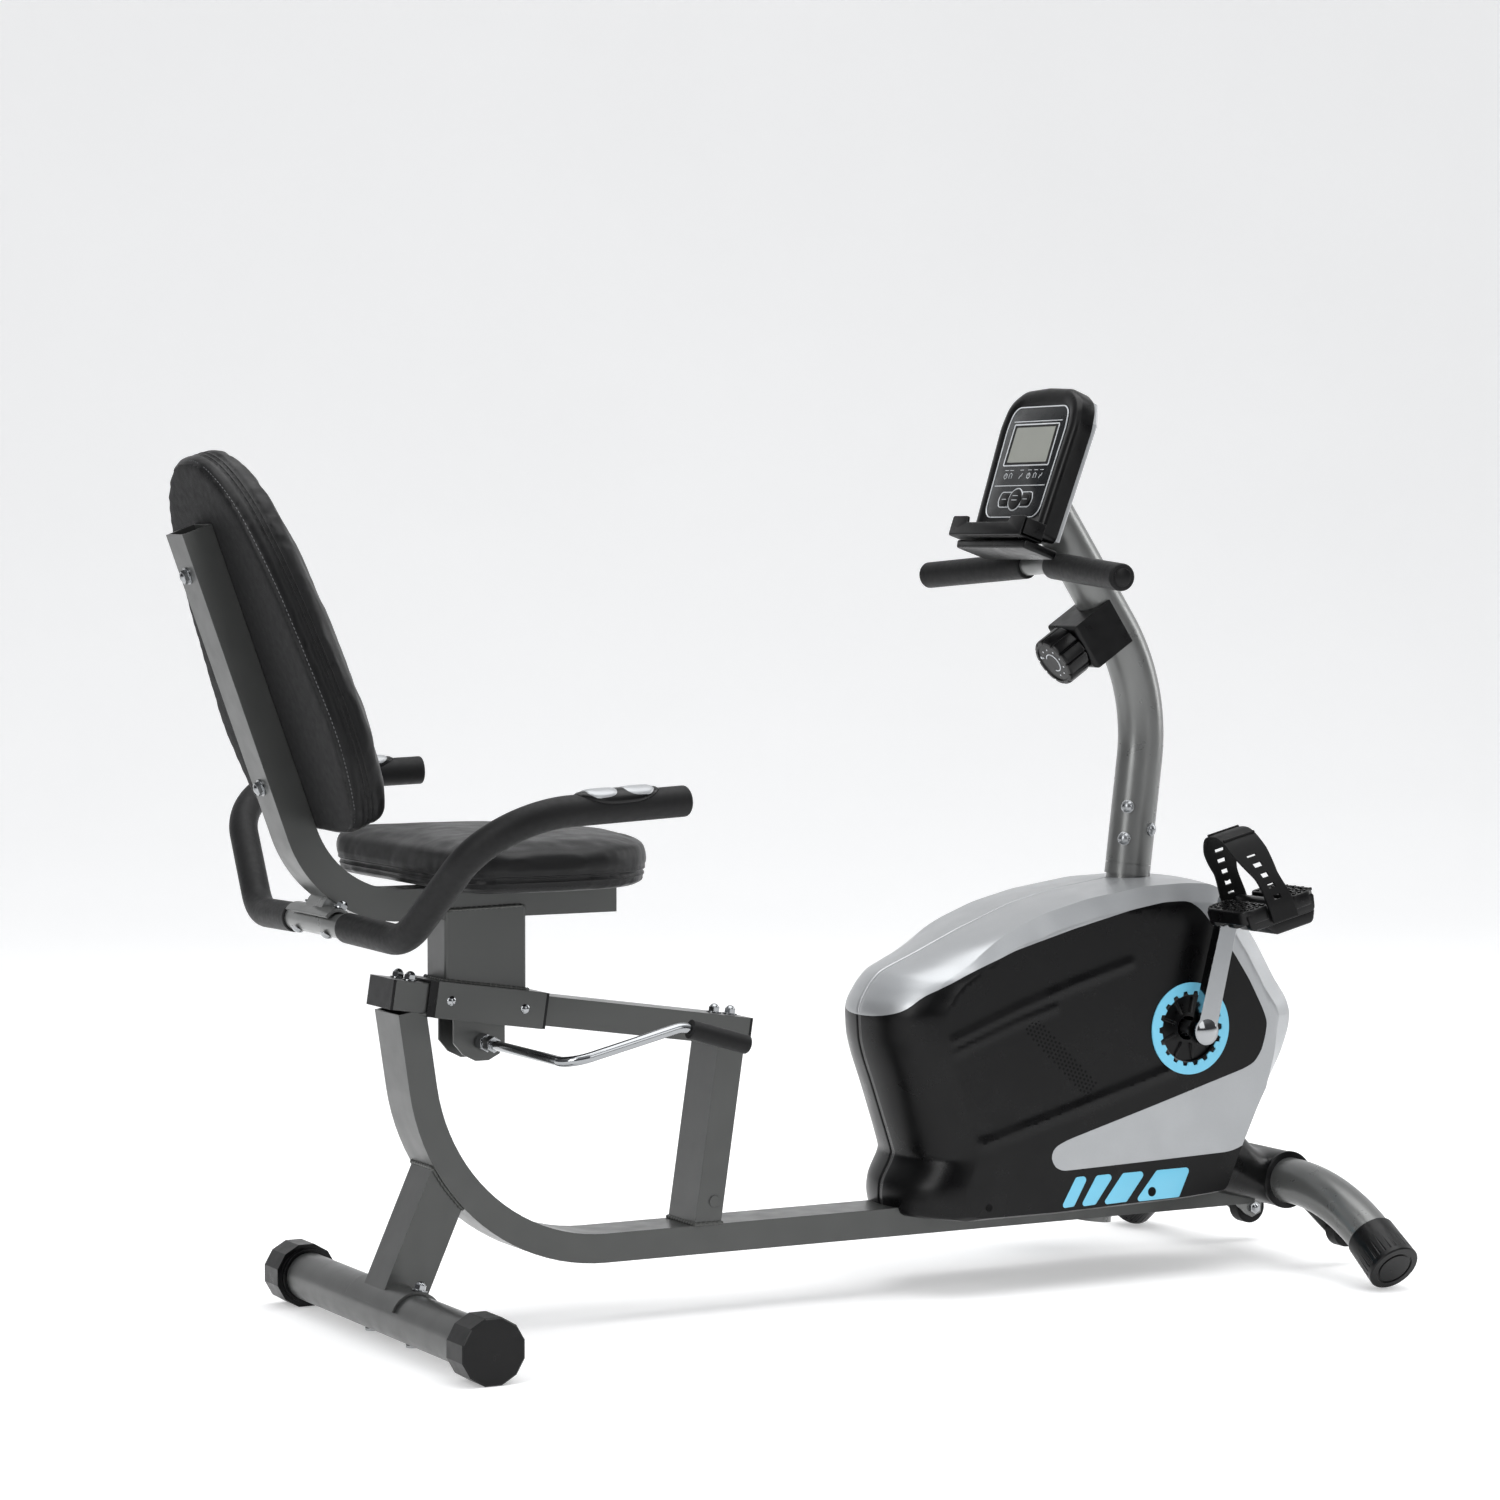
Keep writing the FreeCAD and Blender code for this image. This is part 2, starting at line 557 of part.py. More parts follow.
front_shell = console_face(console_outline(), -22).extrude(CN * 22)
edges_top = [e for e in front_shell.Edges if all(abs((v.Point - C0).dot(CN)) < 1e-3 for v in e.Vertexes)]
front_shell = front_shell.makeFillet(5, edges_top)
hollow = console_face(console_outline(3.0), -22).extrude(CN * 19)
front_shell = front_shell.cut(hollow)
lcd_win = Part.Face(rect_wire(cpoint(22, 0, -20), (0, 1, 0), (CU.x, 0, CU.z), 92, 47)).extrude(CN * 40)
front_shell = front_shell.cut(lcd_win)
BTN = [("button_right", -22.0, 8.5), ("button_center", 0.0, 11.0), ("button_left", 22.0, 8.5)]
BV = -40.0
for nm, yb, rb in BTN:
    front_shell = front_shell.cut(Part.makeCylinder(rb + 0.35, 40, cpoint(BV, yb, -20), CN))
feature("console_front_housing", front_shell)
rear_shell = console_face(console_outline(4.0), -CT).extrude(CN * (CT - 22.2))
rear_edges = [e for e in rear_shell.Edges if all(abs((v.Point - C0).dot(CN) + CT) < 1e-3 for v in e.Vertexes)]
rear_shell = rear_shell.makeFillet(3, rear_edges)
rear_shell = rear_shell.cut(console_face(console_outline(6.5), -CT + 2.5).extrude(CN * 20))
rear_shell = rear_shell.cut(Part.makeCylinder(8, 20, cpoint(-26, 0, -CT - 10), CN))
feature("console_rear_housing", rear_shell)
lens = Part.Face(rect_wire(cpoint(22, 0, -3.4), (0, 1, 0), (CU.x, 0, CU.z), 91.4, 46.4)).extrude(CN * 2.4)
feature("console_lens", lens)
board = Part.Face(rect_wire(cpoint(0, 0, -11.5), (0, 1, 0), (CU.x, 0, CU.z), 120, 120)).extrude(CN * 1.6)
feature("console_circuit_board", board)
for nm, yb, rb in BTN:
    b_ = Part.makeCylinder(rb, 9.0, cpoint(BV, yb, -7.2), CN)
    b_ = b_.makeFillet(0.9, [e for e in b_.Edges if len(e.Vertexes) == 1 and (e.Vertexes[0].Point - C0).dot(CN) > 1])
    flange = Part.makeCylinder(rb + 1.0, 1.4, cpoint(BV, yb, -7.2), CN)
    feature(nm, b_.fuse(flange).removeSplitter())
# phone and book rest below the screen: a shelf, a front lip and a foot
mast_solid_low = round_pipe([tuple(foot), tuple(MC), tuple(mast_top + MU * 30)], [P("mast_rad")], RO + 0.3)
lip = Part.Face(rect_wire(cpoint(-78, 0, 21.5), (0, 1, 0), (CU.x, 0, CU.z), 146, 22)).extrude(CN * 4.0)
notch = Part.Face(rect_wire(cpoint(-68, 0, 20), (0, 1, 0), (CU.x, 0, CU.z), 86, 12)).extrude(CN * 8)
shelf = Part.Face(rect_wire(cpoint(-87.3, 0, -15), (0, 1, 0), (CU.x, 0, CU.z), 146, 5.4)).extrude(CN * 38)
ends = [Part.Face(rect_wire(cpoint(-78.5, sy * 71.2, 0.3), (0, 1, 0), (CU.x, 0, CU.z), 3.6, 21)).extrude(CN * 24) for sy in (-1, 1)]
foot_bar = Part.Face(rect_wire(cpoint(-94.7, 0, -27), (0, 1, 0), (CU.x, 0, CU.z), 138, 9.5)).extrude(CN * 41)
tray = lip.cut(notch).fuse(shelf)
for e_ in ends + [foot_bar]:
    tray = tray.fuse(e_)
tray = tray.cut(mast_solid_low)
feature("console_tray", tray.removeSplitter())

# ================================================================ tension control on the mast
KN = Vector(-math.cos(mb), 0, -math.sin(mb))
k_axis_pt = Vector(856.4, 0, 716.1)
kf = k_axis_pt + KN * 59.0
mast_solid = round_pipe([tuple(foot), tuple(MC), tuple(mast_top + MU * 30)], [P("mast_rad")], RO + 0.2)
hb = Part.Face(rect_wire(k_axis_pt + KN * 4, (MU.x, 0, MU.z), (0, 1, 0), 54, 56)).extrude(KN * 55.0)
hb = hb.makeFillet(5, [e for e in hb.Edges if all(abs((v.Point - kf).dot(KN)) < 1e-3 for v in e.Vertexes)])
hb = hb.cut(mast_solid)
solids_ = sorted(hb.Solids, key=lambda s: -s.Volume)
hb = solids_[0]
hb = hb.cut(Part.makeCylinder(5.05, 30, kf - KN * 18, KN))
feature("tension_housing", hb)
knob = Part.makeCone(P("knob_rad") + 0.5, P("knob_rad"), P("knob_len"), kf + KN * 1.0, KN)
knob = knob.makeFillet(1.5, [e for e in knob.Edges if len(e.Vertexes) == 1 and (e.Vertexes[0].Point - kf).dot(KN) > 5])
for k in range(18):
    a = 2 * math.pi * k / 18
    p = kf + KN * 5 + (MU * math.cos(a) + YDIR * math.sin(a)) * (P("knob_rad") + 1.6)
    knob = knob.cut(Part.makeCylinder(2.6, 40, p, KN))
knob = knob.fuse(Part.makeCylinder(5.0, 17, kf - KN * 16, KN)).removeSplitter()
feature("tension_knob", knob)

# tension cable inside the mast, from the control down into the cover
cab_pts = [tuple(mast_low(456)), tuple(MC + Vector(-3, 0, 0)), tuple(k_axis_pt + MU * -6)]
cable = round_pipe(cab_pts, [180], 2.5)
feature("tension_cable", cable)

# ================================================================ seat assembly
cg, cw = P("carriage_gap"), P("carriage_wall")
c_s, c_l = P("carriage_s"), P("carriage_len")
rect_in_w, rect_in_h = FW + 2 * cg, FT + 2 * cg
sleeve = Part.Face(rect_wire(rail_point(c_s), (0, 1, 0), (RN.x, 0, RN.z), rect_in_w + 2 * cw, rect_in_h + 2 * cw)).extrude(RD * c_l)
sleeve = sleeve.cut(Part.Face(rect_wire(rail_point(c_s), (0, 1, 0), (RN.x, 0, RN.z), rect_in_w, rect_in_h)).extrude(RD * c_l))
half_h = rect_in_h / 2.0 + cw
lx, lz = P("lever_x"), P("lever_z")
# lock bracket under the sleeve: two cheeks with a rounded foot
cheek_shapes = []
for y0 in (-24, 12):
    ch = polygon_prism([(62, 332), (118, 326), (118, 296), (112, 285), (100, 279), (86, 279), (72, 286), (62, 298)], y0, y0 + 3)
    ch = ch.cut(Part.makeCylinder(P("lever_od") / 2.0 + 0.05, 60, Vector(lx, -40, lz), YDIR))
    cheek_shapes.append(ch)
under = Part.Face(rect_wire(rail_point(c_s - 30, 0, -half_h), (0, 1, 0), (RN.x, 0, RN.z), 400, 0.02))
keep_below = Part.makeBox(400, 200, 200)
kb = Part.Face(rect_wire(rail_point(-100, 0, -half_h - 100), (0, 1, 0), (RN.x, 0, RN.z), 200, 200)).extrude(RD * 500)
cheek_shapes = [c_.common(kb) for c_ in cheek_shapes]
win = Part.Face(rect_wire(rail_point(c_s + 40, -1.5, -half_h - 5), (0, 1, 0), (RN.x, 0, RN.z), 32, 20)).extrude(RD * 32)
sleeve = sleeve.cut(win)
car = sleeve
for c_ in cheek_shapes:
    car = car.fuse(c_)
feature("seat_carriage", car.removeSplitter())
liners = []
for s0, ln in ((c_s - 9.0, 30.0), (c_s + c_l + 3.0, -30.0)):
    sg = 1 if ln > 0 else -1
    ln_o = Part.Face(rect_wire(rail_point(s0), (0, 1, 0), (RN.x, 0, RN.z), rect_in_w - 0.04, rect_in_h - 0.04)).extrude(RD * ln)
    lip_ = Part.Face(rect_wire(rail_point(s0), (0, 1, 0), (RN.x, 0, RN.z), rect_in_w + 2 * cw - 0.6, rect_in_h + 2 * cw - 0.6)).extrude(RD * (9.0 if sg > 0 else -3.0))
    bore = Part.Face(rect_wire(rail_point(s0 - sg), (0, 1, 0), (RN.x, 0, RN.z), FW + 0.5, FT + 0.5)).extrude(RD * (ln + 2 * sg))
    liner = ln_o.fuse(lip_).cut(bore)
    if sg > 0:
        gap = Part.Face(rect_wire(rail_point(s0 - 1, 0, -FT / 2.0 - 5), (0, 1, 0), (RN.x, 0, RN.z), FW + 1.2, 10.8)).extrude(RD * 9.0)
        liner = liner.cut(gap)
    liners.append(liner.removeSplitter())
feature("carriage_bushings", compound(liners))
scr = []
for s_, n_ in ((c_s + 16, 0), (c_s + 98, 0)):
    for side in (-1, 1):
        p = rail_point(s_, side * (rect_in_w / 2.0 + cw), n_)
        scr.append(dome(p, (0, side, 0), 5.2, 2.6))

# seat post: short rectangular tube between the sleeve and the seat beam
px0, pxl, pw = P("seat_post_x"), P("seat_post_len"), P("seat_post_w")
beam_lo = P("beam_z") - P("beam_t") / 2.0
sp = Part.makeBox(pxl, pw, 200, Vector(px0, -pw / 2.0, 300))
sp = sp.makeFillet(5, [e for e in sp.Edges if abs(e.Vertexes[0].Point.z - e.Vertexes[1].Point.z) > 100])
spi = Part.makeBox(pxl - 2 * WALL, pw - 2 * WALL, 200, Vector(px0 + WALL, -pw / 2.0 + WALL, 300))
spi = spi.makeFillet(3, [e for e in spi.Edges if abs(e.Vertexes[0].Point.z - e.Vertexes[1].Point.z) > 100])
sp = sp.cut(spi)
above_c = Part.Face(rect_wire(rail_point(-100, 0, half_h + 200), (0, 1, 0), (RN.x, 0, RN.z), 300, 400)).extrude(RD * 500)
sp = sp.common(above_c)
sp = sp.cut(polygon_prism([(0, 429), (200, 434), (200, 600), (0, 600)], -100, 100))
sp = sp.cut(Part.makeBox(300, P("beam_w") + 0.3, 100, Vector(-20, -P("beam_w") / 2.0 - 0.15, beam_lo - 0.1)))
feature("seat_post", sp)

# seat beam bent up into the back tube, with two cross plates for the seat pad
ba = rad(P("back_angle"))
BU = Vector(-math.sin(ba), 0, math.cos(ba))
BN = Vector(math.cos(ba), 0, math.sin(ba))
B0 = Vector(P("back_corner_x"), 0, P("beam_z"))
bt, bw = P("beam_t"), P("beam_w")
beam_start = Vector(P("beam_end"), 0, P("beam_z"))
bpath = rounded_path([tuple(beam_start), tuple(B0), tuple(B0 + BU * P("back_len"))], [P("back_rad")])
bo = pipe(bpath, rect_wire(beam_start, (0, 1, 0), (0, 0, 1), bw, bt))
bi = pipe(bpath, rect_wire(beam_start, (0, 1, 0), (0, 0, 1), bw - 2 * WALL, bt - 2 * WALL))
backframe = bo.cut(bi)
beam_hi = P("beam_z") + bt / 2.0
for x0 in (42, 186):
    backframe = backframe.fuse(Part.makeBox(38, 150, 4.0, Vector(x0, -75, beam_hi)))
feature("seat_back_frame", backframe.removeSplitter())


def bpoint(u, y=0.0, n=0.0):
    """Point on the back tube: u up the tube from its corner, n out of its front."""
    return B0 + BU * u + Vector(0, y, 0) + BN * n


# seat pad: rounded front, straight rear, crowned top
sz0, szt, szc = P("seat_z"), P("seat_edge_t"), P("seat_crown")
sr, sf, sh = P("seat_rear"), P("seat_front"), P("seat_half")


def seat_outline(inset, z):
    half_pts = [(sr, 0), (sr, sh * 0.62), (sr + 6, sh * 0.85), (sr + 22, sh * 0.975), (sr + 52, sh),
                (sr + 120, sh), (sr + 165, sh * 0.955), (sr + 200, sh * 0.84), (sr + 226, sh * 0.64),
                (sr + 245, sh * 0.38), (sf, 0)]
    cx = (sr + sf) / 2.0
    pts_ = []
    for x, y in half_pts:
        kx = 1 - inset / ((sf - sr) / 2.0)
        ky = 1 - inset / sh
        pts_.append(Vector(cx + (x - cx) * kx, y * ky, z))
    full = pts_ + [Vector(p.x, -p.y, p.z) for p in reversed(pts_[1:-1])]
    c = Part.BSplineCurve()
    c.interpolate(full, PeriodicFlag=True)
    return Part.Wire([c.toShape()])


seat = Part.makeLoft([seat_outline(10, sz0), seat_outline(1, sz0 + 8), seat_outline(0, sz0 + 18), seat_outline(3, sz0 + szt - 6),
                      seat_outline(14, sz0 + szt + 2), seat_outline(46, sz0 + szt + szc * 0.62), seat_outline(88, sz0 + szt + szc)], True, False)
feature("seat_cushion", seat)

BACK_W = [(0, 0), (0, 85), (12, 115), (39, 133), (83, 145), (111, 147), (143, 144), (185, 137), (241, 127),
          (295, 110), (335, 90), (360, 68), (376, 45), (385, 20), (387, 0)]
BACK_U0 = 74.0


def back_outline(inset, n):
    pts_ = []
    for u, y in BACK_W:
        ku = 1 - inset / 193.0
        ky = 1 - inset / 147.0
        pts_.append(bpoint(BACK_U0 + 193.5 + (u - 193.5) * ku, y * ky, n))
    full = pts_ + [Vector(p.x, -p.y, p.z) for p in reversed(pts_[1:-1])]
    c = Part.BSplineCurve()
    c.interpolate(full, PeriodicFlag=True)
    return Part.Wire([c.toShape()])


n0 = bt / 2.0 + 0.4
backpad = Part.makeLoft([back_outline(8, n0), back_outline(1, n0 + 7), back_outline(0, n0 + 20), back_outline(2, n0 + 36),
                         back_outline(12, n0 + 46), back_outline(50, n0 + 53)], True, False)
feature("back_cushion", backpad)
bb = []
for u_ in (353, 133):
    p = bpoint(u_, 0, -bt / 2.0)
    bb.append(Part.makeCylinder(8.5, 1.6, p, BN * -1).fuse(hexagon(p - BN * 1.6, BN * -1, 7, 4.6)).fuse(dome(p - BN * 6.2, BN * -1, 5.4, 2.4)).removeSplitter())

# seat handle: one tube across behind the seat, up and forward on both sides
HP = [(174.6, -309, 552.9), (-32.5, -331.7, 544.7), (-61.2, -186.1, 419.1), (-73.6, 0, 425),
      (-61.2, 186.1, 419.1), (-32.5, 331.7, 544.7), (174.6, 309, 552.9)]
HR = [88, 70, 900, 70, 88]
hr = P("handle_od") / 2.0
tip = Vector(*HP[0]) - (Vector(*HP[0]) - Vector(*HP[1])).normalize() * 5
HPt = [tuple(tip)] + HP[1:-1] + [(tip.x, -tip.y, tip.z)]
handle = round_pipe(HPt, HR, hr, hr - 1.5)
feature("seat_handle", handle)


def foam(side):
    """Foam sleeve from beside the clamp to the closed end of the grip."""
    y0 = 66.0
    pts_ = [Vector(x, abs(y) * side, z) for x, y, z in (HP[3], HP[4], HP[5], HP[6])]
    d = (pts_[1] - pts_[0]).normalize()
    s0 = pts_[0] + d * y0
    path_pts = [tuple(s0), tuple(pts_[1]), tuple(pts_[2]), tuple(pts_[3])]
    o = round_pipe(path_pts, [70, 88], P("foam_od") / 2.0)
    i = round_pipe(path_pts[:-1] + [tuple(pts_[3] - (pts_[3] - pts_[2]).normalize() * 4.7)], [70, 88], hr + 0.1)
    return o.cut(i)


feature("handle_foam_grips", compound([foam(-1), foam(1)]))
hc = Vector(*HP[3])
up_n = (Vector(6.7, 0, 550) - hc).normalize()
clamp = Part.makeCylinder(hr + 3.2, 104, Vector(hc.x, -52, hc.z), YDIR)
lobe = Part.Face(rect_wire(hc, (0, 1, 0), (up_n.cross(YDIR).x, 0, up_n.cross(YDIR).z), 104, 2 * (hr + 3.2))).extrude(up_n * 60)
clamp = clamp.common(lobe.fuse(Part.makeCylinder(0.1, 1, hc, YDIR)))
riser = Part.Face(rect_wire(hc, (0, 1, 0), (up_n.cross(YDIR).x, 0, up_n.cross(YDIR).z), bw - 3, 24)).extrude(up_n * 60)
clamp = clamp.fuse(riser)
clamp = clamp.cut(Part.makeCylinder(hr + 0.1, 140, Vector(hc.x, -70, hc.z), YDIR).fuse(round_pipe(HPt, HR, hr + 0.1)))
fat = Part.Wire(bpath.Edges)
bo_fat = pipe(fat, rect_wire(beam_start, (0, 1, 0), (0, 0, 1), bw + 0.2, bt + 0.2))
clamp = clamp.cut(bo_fat)
above_arc = Part.makeCylinder(P("back_rad"), 200, Vector(6.7 - 0.0, -100, 550), YDIR)
clamp = sorted(clamp.cut(above_arc).Solids, key=lambda s: -s.Volume)[0]
feature("handle_clamp", clamp)
hb_l = []
for y_ in (-37, 37):
    p_lo = Vector(hc.x, y_, hc.z) - up_n * (hr + 0.1)
    hb_l.append(dome(p_lo + up_n * 0.0, up_n * -1, 7, 3.5))
    p_hi = Vector(hc.x, y_, hc.z) + up_n * (hr + 3.3)
    hb_l.append(acorn(p_hi, up_n, 6.2))
feature("seat_bolts", compound(scr + bb + hb_l))


def pulse_sensor(side):
    """Curved contact pad that sits on the foam near the end of the grip."""
    a = Vector(HP[5][0], HP[5][1] * side, HP[5][2])
    b = Vector(HP[6][0], HP[6][1] * side, HP[6][2])
    d = (b - a).normalize()
    p0 = b - d * 122
    up = (Vector(0, 0, 1) - d * d.z).normalize()
    lat = d.cross(up)
    r0, r1 = P("foam_od") / 2.0 + 0.15, P("foam_od") / 2.0 + 4.2
    ring = Part.makeCylinder(r1, 88, p0, d).cut(Part.makeCylinder(r0, 88, p0, d))
    wedge = Part.Face(Part.makePolygon([p0 - d, p0 - d + up * 40 + lat * 34, p0 - d + up * 40 - lat * 34, p0 - d])).extrude(d * 90)
    s = ring.common(wedge)
    return s


feature("pulse_sensors", compound([pulse_sensor(-1), pulse_sensor(1)]))

# adjusting lever: hexagon coupling, cross rod, cranked arm and sleeve
ly = P("lever_y")
lr = P("lever_od") / 2.0
LP = [(lx, 18, lz), (lx, -ly, lz), (214, -ly, 327), (284, -ly, 306)]
lev = round_pipe(LP, [24, 26], lr)
lev = lev.fuse(hexagon((lx, -26, lz), (0, -1, 0), 9.2, 12)).fuse(hexagon((lx, -41, lz), (0, -1, 0), 8.2, 13)).fuse(
    Part.makeCylinder(7.4, 4, Vector(lx, -38, lz), Vector(0, -1, 0)))
feature("adjust_lever", lev.removeSplitter())
g0 = Vector(*LP[2]) + (Vector(*LP[3]) - Vector(*LP[2])).normalize() * 9
g1 = Vector(*LP[3])
gd = (g1 - g0).normalize()
grip = Part.makeCylinder(9.5, (g1 - g0).Length + 3, g0, gd)
grip = grip.makeFillet(3, [e for e in grip.Edges if len(e.Vertexes) == 1 and (e.Vertexes[0].Point - g1).dot(gd) > 1])
grip = grip.cut(Part.makeCylinder(lr + 0.08, (g1 - g0).Length + 0.2, g0, gd).fuse(round_pipe(LP, [24, 26], lr + 0.05)))
feature("lever_grip", sorted(grip.Solids, key=lambda s: -s.Volume)[0])
# lock block: presses on the rail's underside
lk = Part.Face(rect_wire(rail_point(c_s + 41, -6, -FT / 2.0 - 5.3), (0, 1, 0), (RN.x, 0, RN.z), 22, 9.4)).extrude(RD * 30)
feature("lock_block", lk)

# ================================================================ drive cover: two hollow shells
TOP = [(541.5, 305), (545, 315), (555, 331), (567, 343), (585, 351), (604, 358.5), (666, 385.5), (729, 409.5), (780, 422),
       (854, 432.5), (905, 434), (938, 432), (954, 424), (970, 405), (998, 366), (1040, 296), (1044.5, 281), (1042, 264), (1032, 238), (1000, 182),
       (974, 128), (958, 90), (900, 86), (740, 82), (600, 82), (571, 86), (567, 104), (569, 121), (584, 147), (580, 160), (558, 225),
       (548, 252), (542.5, 272), (541, 295)]


def inset_poly(pts2, d):
    """Offset a clockwise polygon inwards by d, corner by corner."""
    n = len(pts2)
    area = sum(pts2[i][0] * pts2[(i + 1) % n][1] - pts2[(i + 1) % n][0] * pts2[i][1] for i in range(n)) / 2.0
    sg = 1 if area > 0 else -1
    out = []
    for i in range(n):
        di = d[i] if isinstance(d, list) else d
        x0, y0 = pts2[i - 1]
        x1, y1 = pts2[i]
        x2, y2 = pts2[(i + 1) % n]
        ax1, ay1 = x1 - x0, y1 - y0
        bx1, by1 = x2 - x1, y2 - y1
        la_, lb_ = math.hypot(ax1, ay1), math.hypot(bx1, by1)
        nx, ny = -ay1 / la_ - by1 / lb_, ax1 / la_ + bx1 / lb_
        ln = math.hypot(nx, ny)
        nx, ny = nx / ln, ny / ln
        cosh = max(0.6, (-ay1 / la_) * nx + (ax1 / la_) * ny)
        out.append((x1 + sg * nx * di / cosh, y1 + sg * ny * di / cosh))
    return out


def section_pts(y, extra=0.0):
    """Side outline of the cover at the distance y from its middle plane."""
    H = P("cover_half")
    k = min(1.0, abs(y) / H)
    back = 66.0 * (1 - math.sqrt(max(0.0, 1 - (k * 0.985) ** 2)))
    crown = 5.0 * k * k
    pts2 = []
    for x, z in TOP:
        w = max(0.0, min(1.0, (700.0 - x) / 140.0))
        x2 = x + back * w * w * (3 - 2 * w)
        z2 = z - (crown if z > 300 else 0.0)
        pts2.append((x2, z2))
    t = max(0.0, abs(y) - 77.0) / (H - 77.0)
    depth = []
    for x, z in TOP:
        wide = max(0.0, min(1.0, (x - 590.0) / 120.0)) * max(0.0, min(1.0, (z - 200.0) / 60.0))
        depth.append(t * (3.0 + 17.0 * wide) + extra)
    return inset_poly(pts2, depth)


def cover_solid(extra, ymax):
    ys = [0, 18, 34, 48, 60, 69, 77, P("cover_half")]
    wires = []
    for y in ys:
        yy = min(y, 1e9)
        pts2 = section_pts(y, extra)
        ypos = y if y < P("cover_half") else P("cover_half") - extra
        wires.append(Part.makePolygon([Vector(a, -ypos, b) for a, b in pts2] + [Vector(pts2[0][0], -ypos, pts2[0][1])]))
    return Part.makeLoft(wires, True, True)


outer_c = cover_solid(0.0, P("cover_half"))
inner_c = cover_solid(P("cover_wall"), P("cover_half"))
NECK = [(940, 205), (1010, 200), (1030, 176), (1040, 150), (1058, 128), (1082, 108), (1082, 78), (1060, 66), (1000, 74), (940, 84)]
neck_o = polygon_prism(NECK, -50, 0)
neck_i = polygon_prism(inset_poly(NECK, 3.0), -47, 0)
slv_o = Part.makeCylinder(31.5, 58, Vector(fx, -58, fz), YDIR)
bb_keep = Part.makeCylinder(P("bb_rad") + 12, 200, Vector(bbc.x, -100, bbc.z), YDIR)
tube_cut = Part.makeBox(1200, FW + 1.0, FT + 1.0, Vector(-100, -FW / 2.0 - 0.5, P("base_z") - FT / 2.0 - 0.5))
floor_cut = Part.makeBox(1200, FW + 1.0, 60, Vector(-100, -FW / 2.0 - 0.5, P("base_z") - 60))
front_cut = round_pipe(pts, [fr, fr], RO + 0.5)
upr_cut = Part.makeCylinder(RO + 1.0, 900, mast_low(-50), upright_dir)
half = outer_c.fuse(neck_o).fuse(slv_o)
half = half.cut(inner_c).cut(neck_i)
half = half.cut(tube_cut).cut(floor_cut).cut(front_cut).cut(upr_cut)
half = half.cut(Part.makeCylinder(36, 200, Vector(bbc.x, -100, bbc.z), YDIR))
below = Part.makeBox(1400, 200, 63.0, Vector(-100, -150, 0))
half = half.cut(below)
half = half.cut(Part.makeBox(1400, 0.2, 700, Vector(-100, -0.1, 0)))
VENTS = []
v_a, v_b = Vector(700, 0, 282), Vector(778, 0, 214)
for i in range(9):
    for j in range(3):
        c = v_a + (v_b - v_a) * (i / 8.0) + Vector(5.5, 0, 5.5) * (j - 1) * 1.3
        VENTS.append(Part.makeCylinder(2.1, 20, Vector(c.x, -P("cover_half") - 5, c.z), YDIR))
half = half.cut(compound(VENTS))
solids_ = sorted(half.Solids, key=lambda s: -s.Volume)
right_shell = solids_[0]
feature("cover_right", right_shell)
feature("cover_left", mirror_y(right_shell))

# trim rings round the crank openings, with a toothed inner edge
def trim_ring(side):
    H = P("cover_half")
    y0 = side * (H + 0.1)
    n = 18
    teeth = []
    for k in range(n):
        for da, r_ in ((-0.30, 37.0), (-0.18, 41.0), (0.18, 41.0), (0.30, 37.0)):
            a = 2 * math.pi * (k + da) / n
            teeth.append(Vector(bbc.x + r_ * math.cos(a), y0, bbc.z + r_ * math.sin(a)))
    o = Part.makeCylinder(50, 1.6, Vector(bbc.x, y0, bbc.z), Vector(0, side, 0))
    i = Part.Face(Part.makePolygon(teeth + [teeth[0]])).extrude(Vector(0, side * 1.6, 0))
    return o.cut(i)


feature("crank_trim_rings", compound([trim_ring(-1), trim_ring(1)]))

# ================================================================ drive train
bbr, bbh = P("bb_rad"), P("bb_half")
round_tube("bottom_bracket_shell", frame_at((bbc.x, -bbh, bbc.z), (1, 0, 0), (0, 1, 0)),
           "Params.bb_rad", "Params.bb_rad - 3", "2 * Params.bb_half")
brg = []
for side in (-1, 1):
    b_ = Part.makeCylinder(bbr - 3.05, 11, Vector(bbc.x, side * bbh, bbc.z), Vector(0, -side, 0))
    brg.append(b_.cut(Part.makeCylinder(P("axle_rad") + 0.05, 11, Vector(bbc.x, side * bbh, bbc.z), Vector(0, -side, 0))))
feature("crank_bearings", compound(brg))
arm_in, arm_t = P("arm_in"), P("arm_t")
round_tube("crank_axle", frame_at((bbc.x, -(arm_in + arm_t - 2), bbc.z), (1, 0, 0), (0, 1, 0)),
           "Params.axle_rad", None, "2 * (Params.arm_in + Params.arm_t - 2)")
ca = rad(P("crank_angle"))
CD = Vector(math.sin(ca), 0, math.cos(ca))


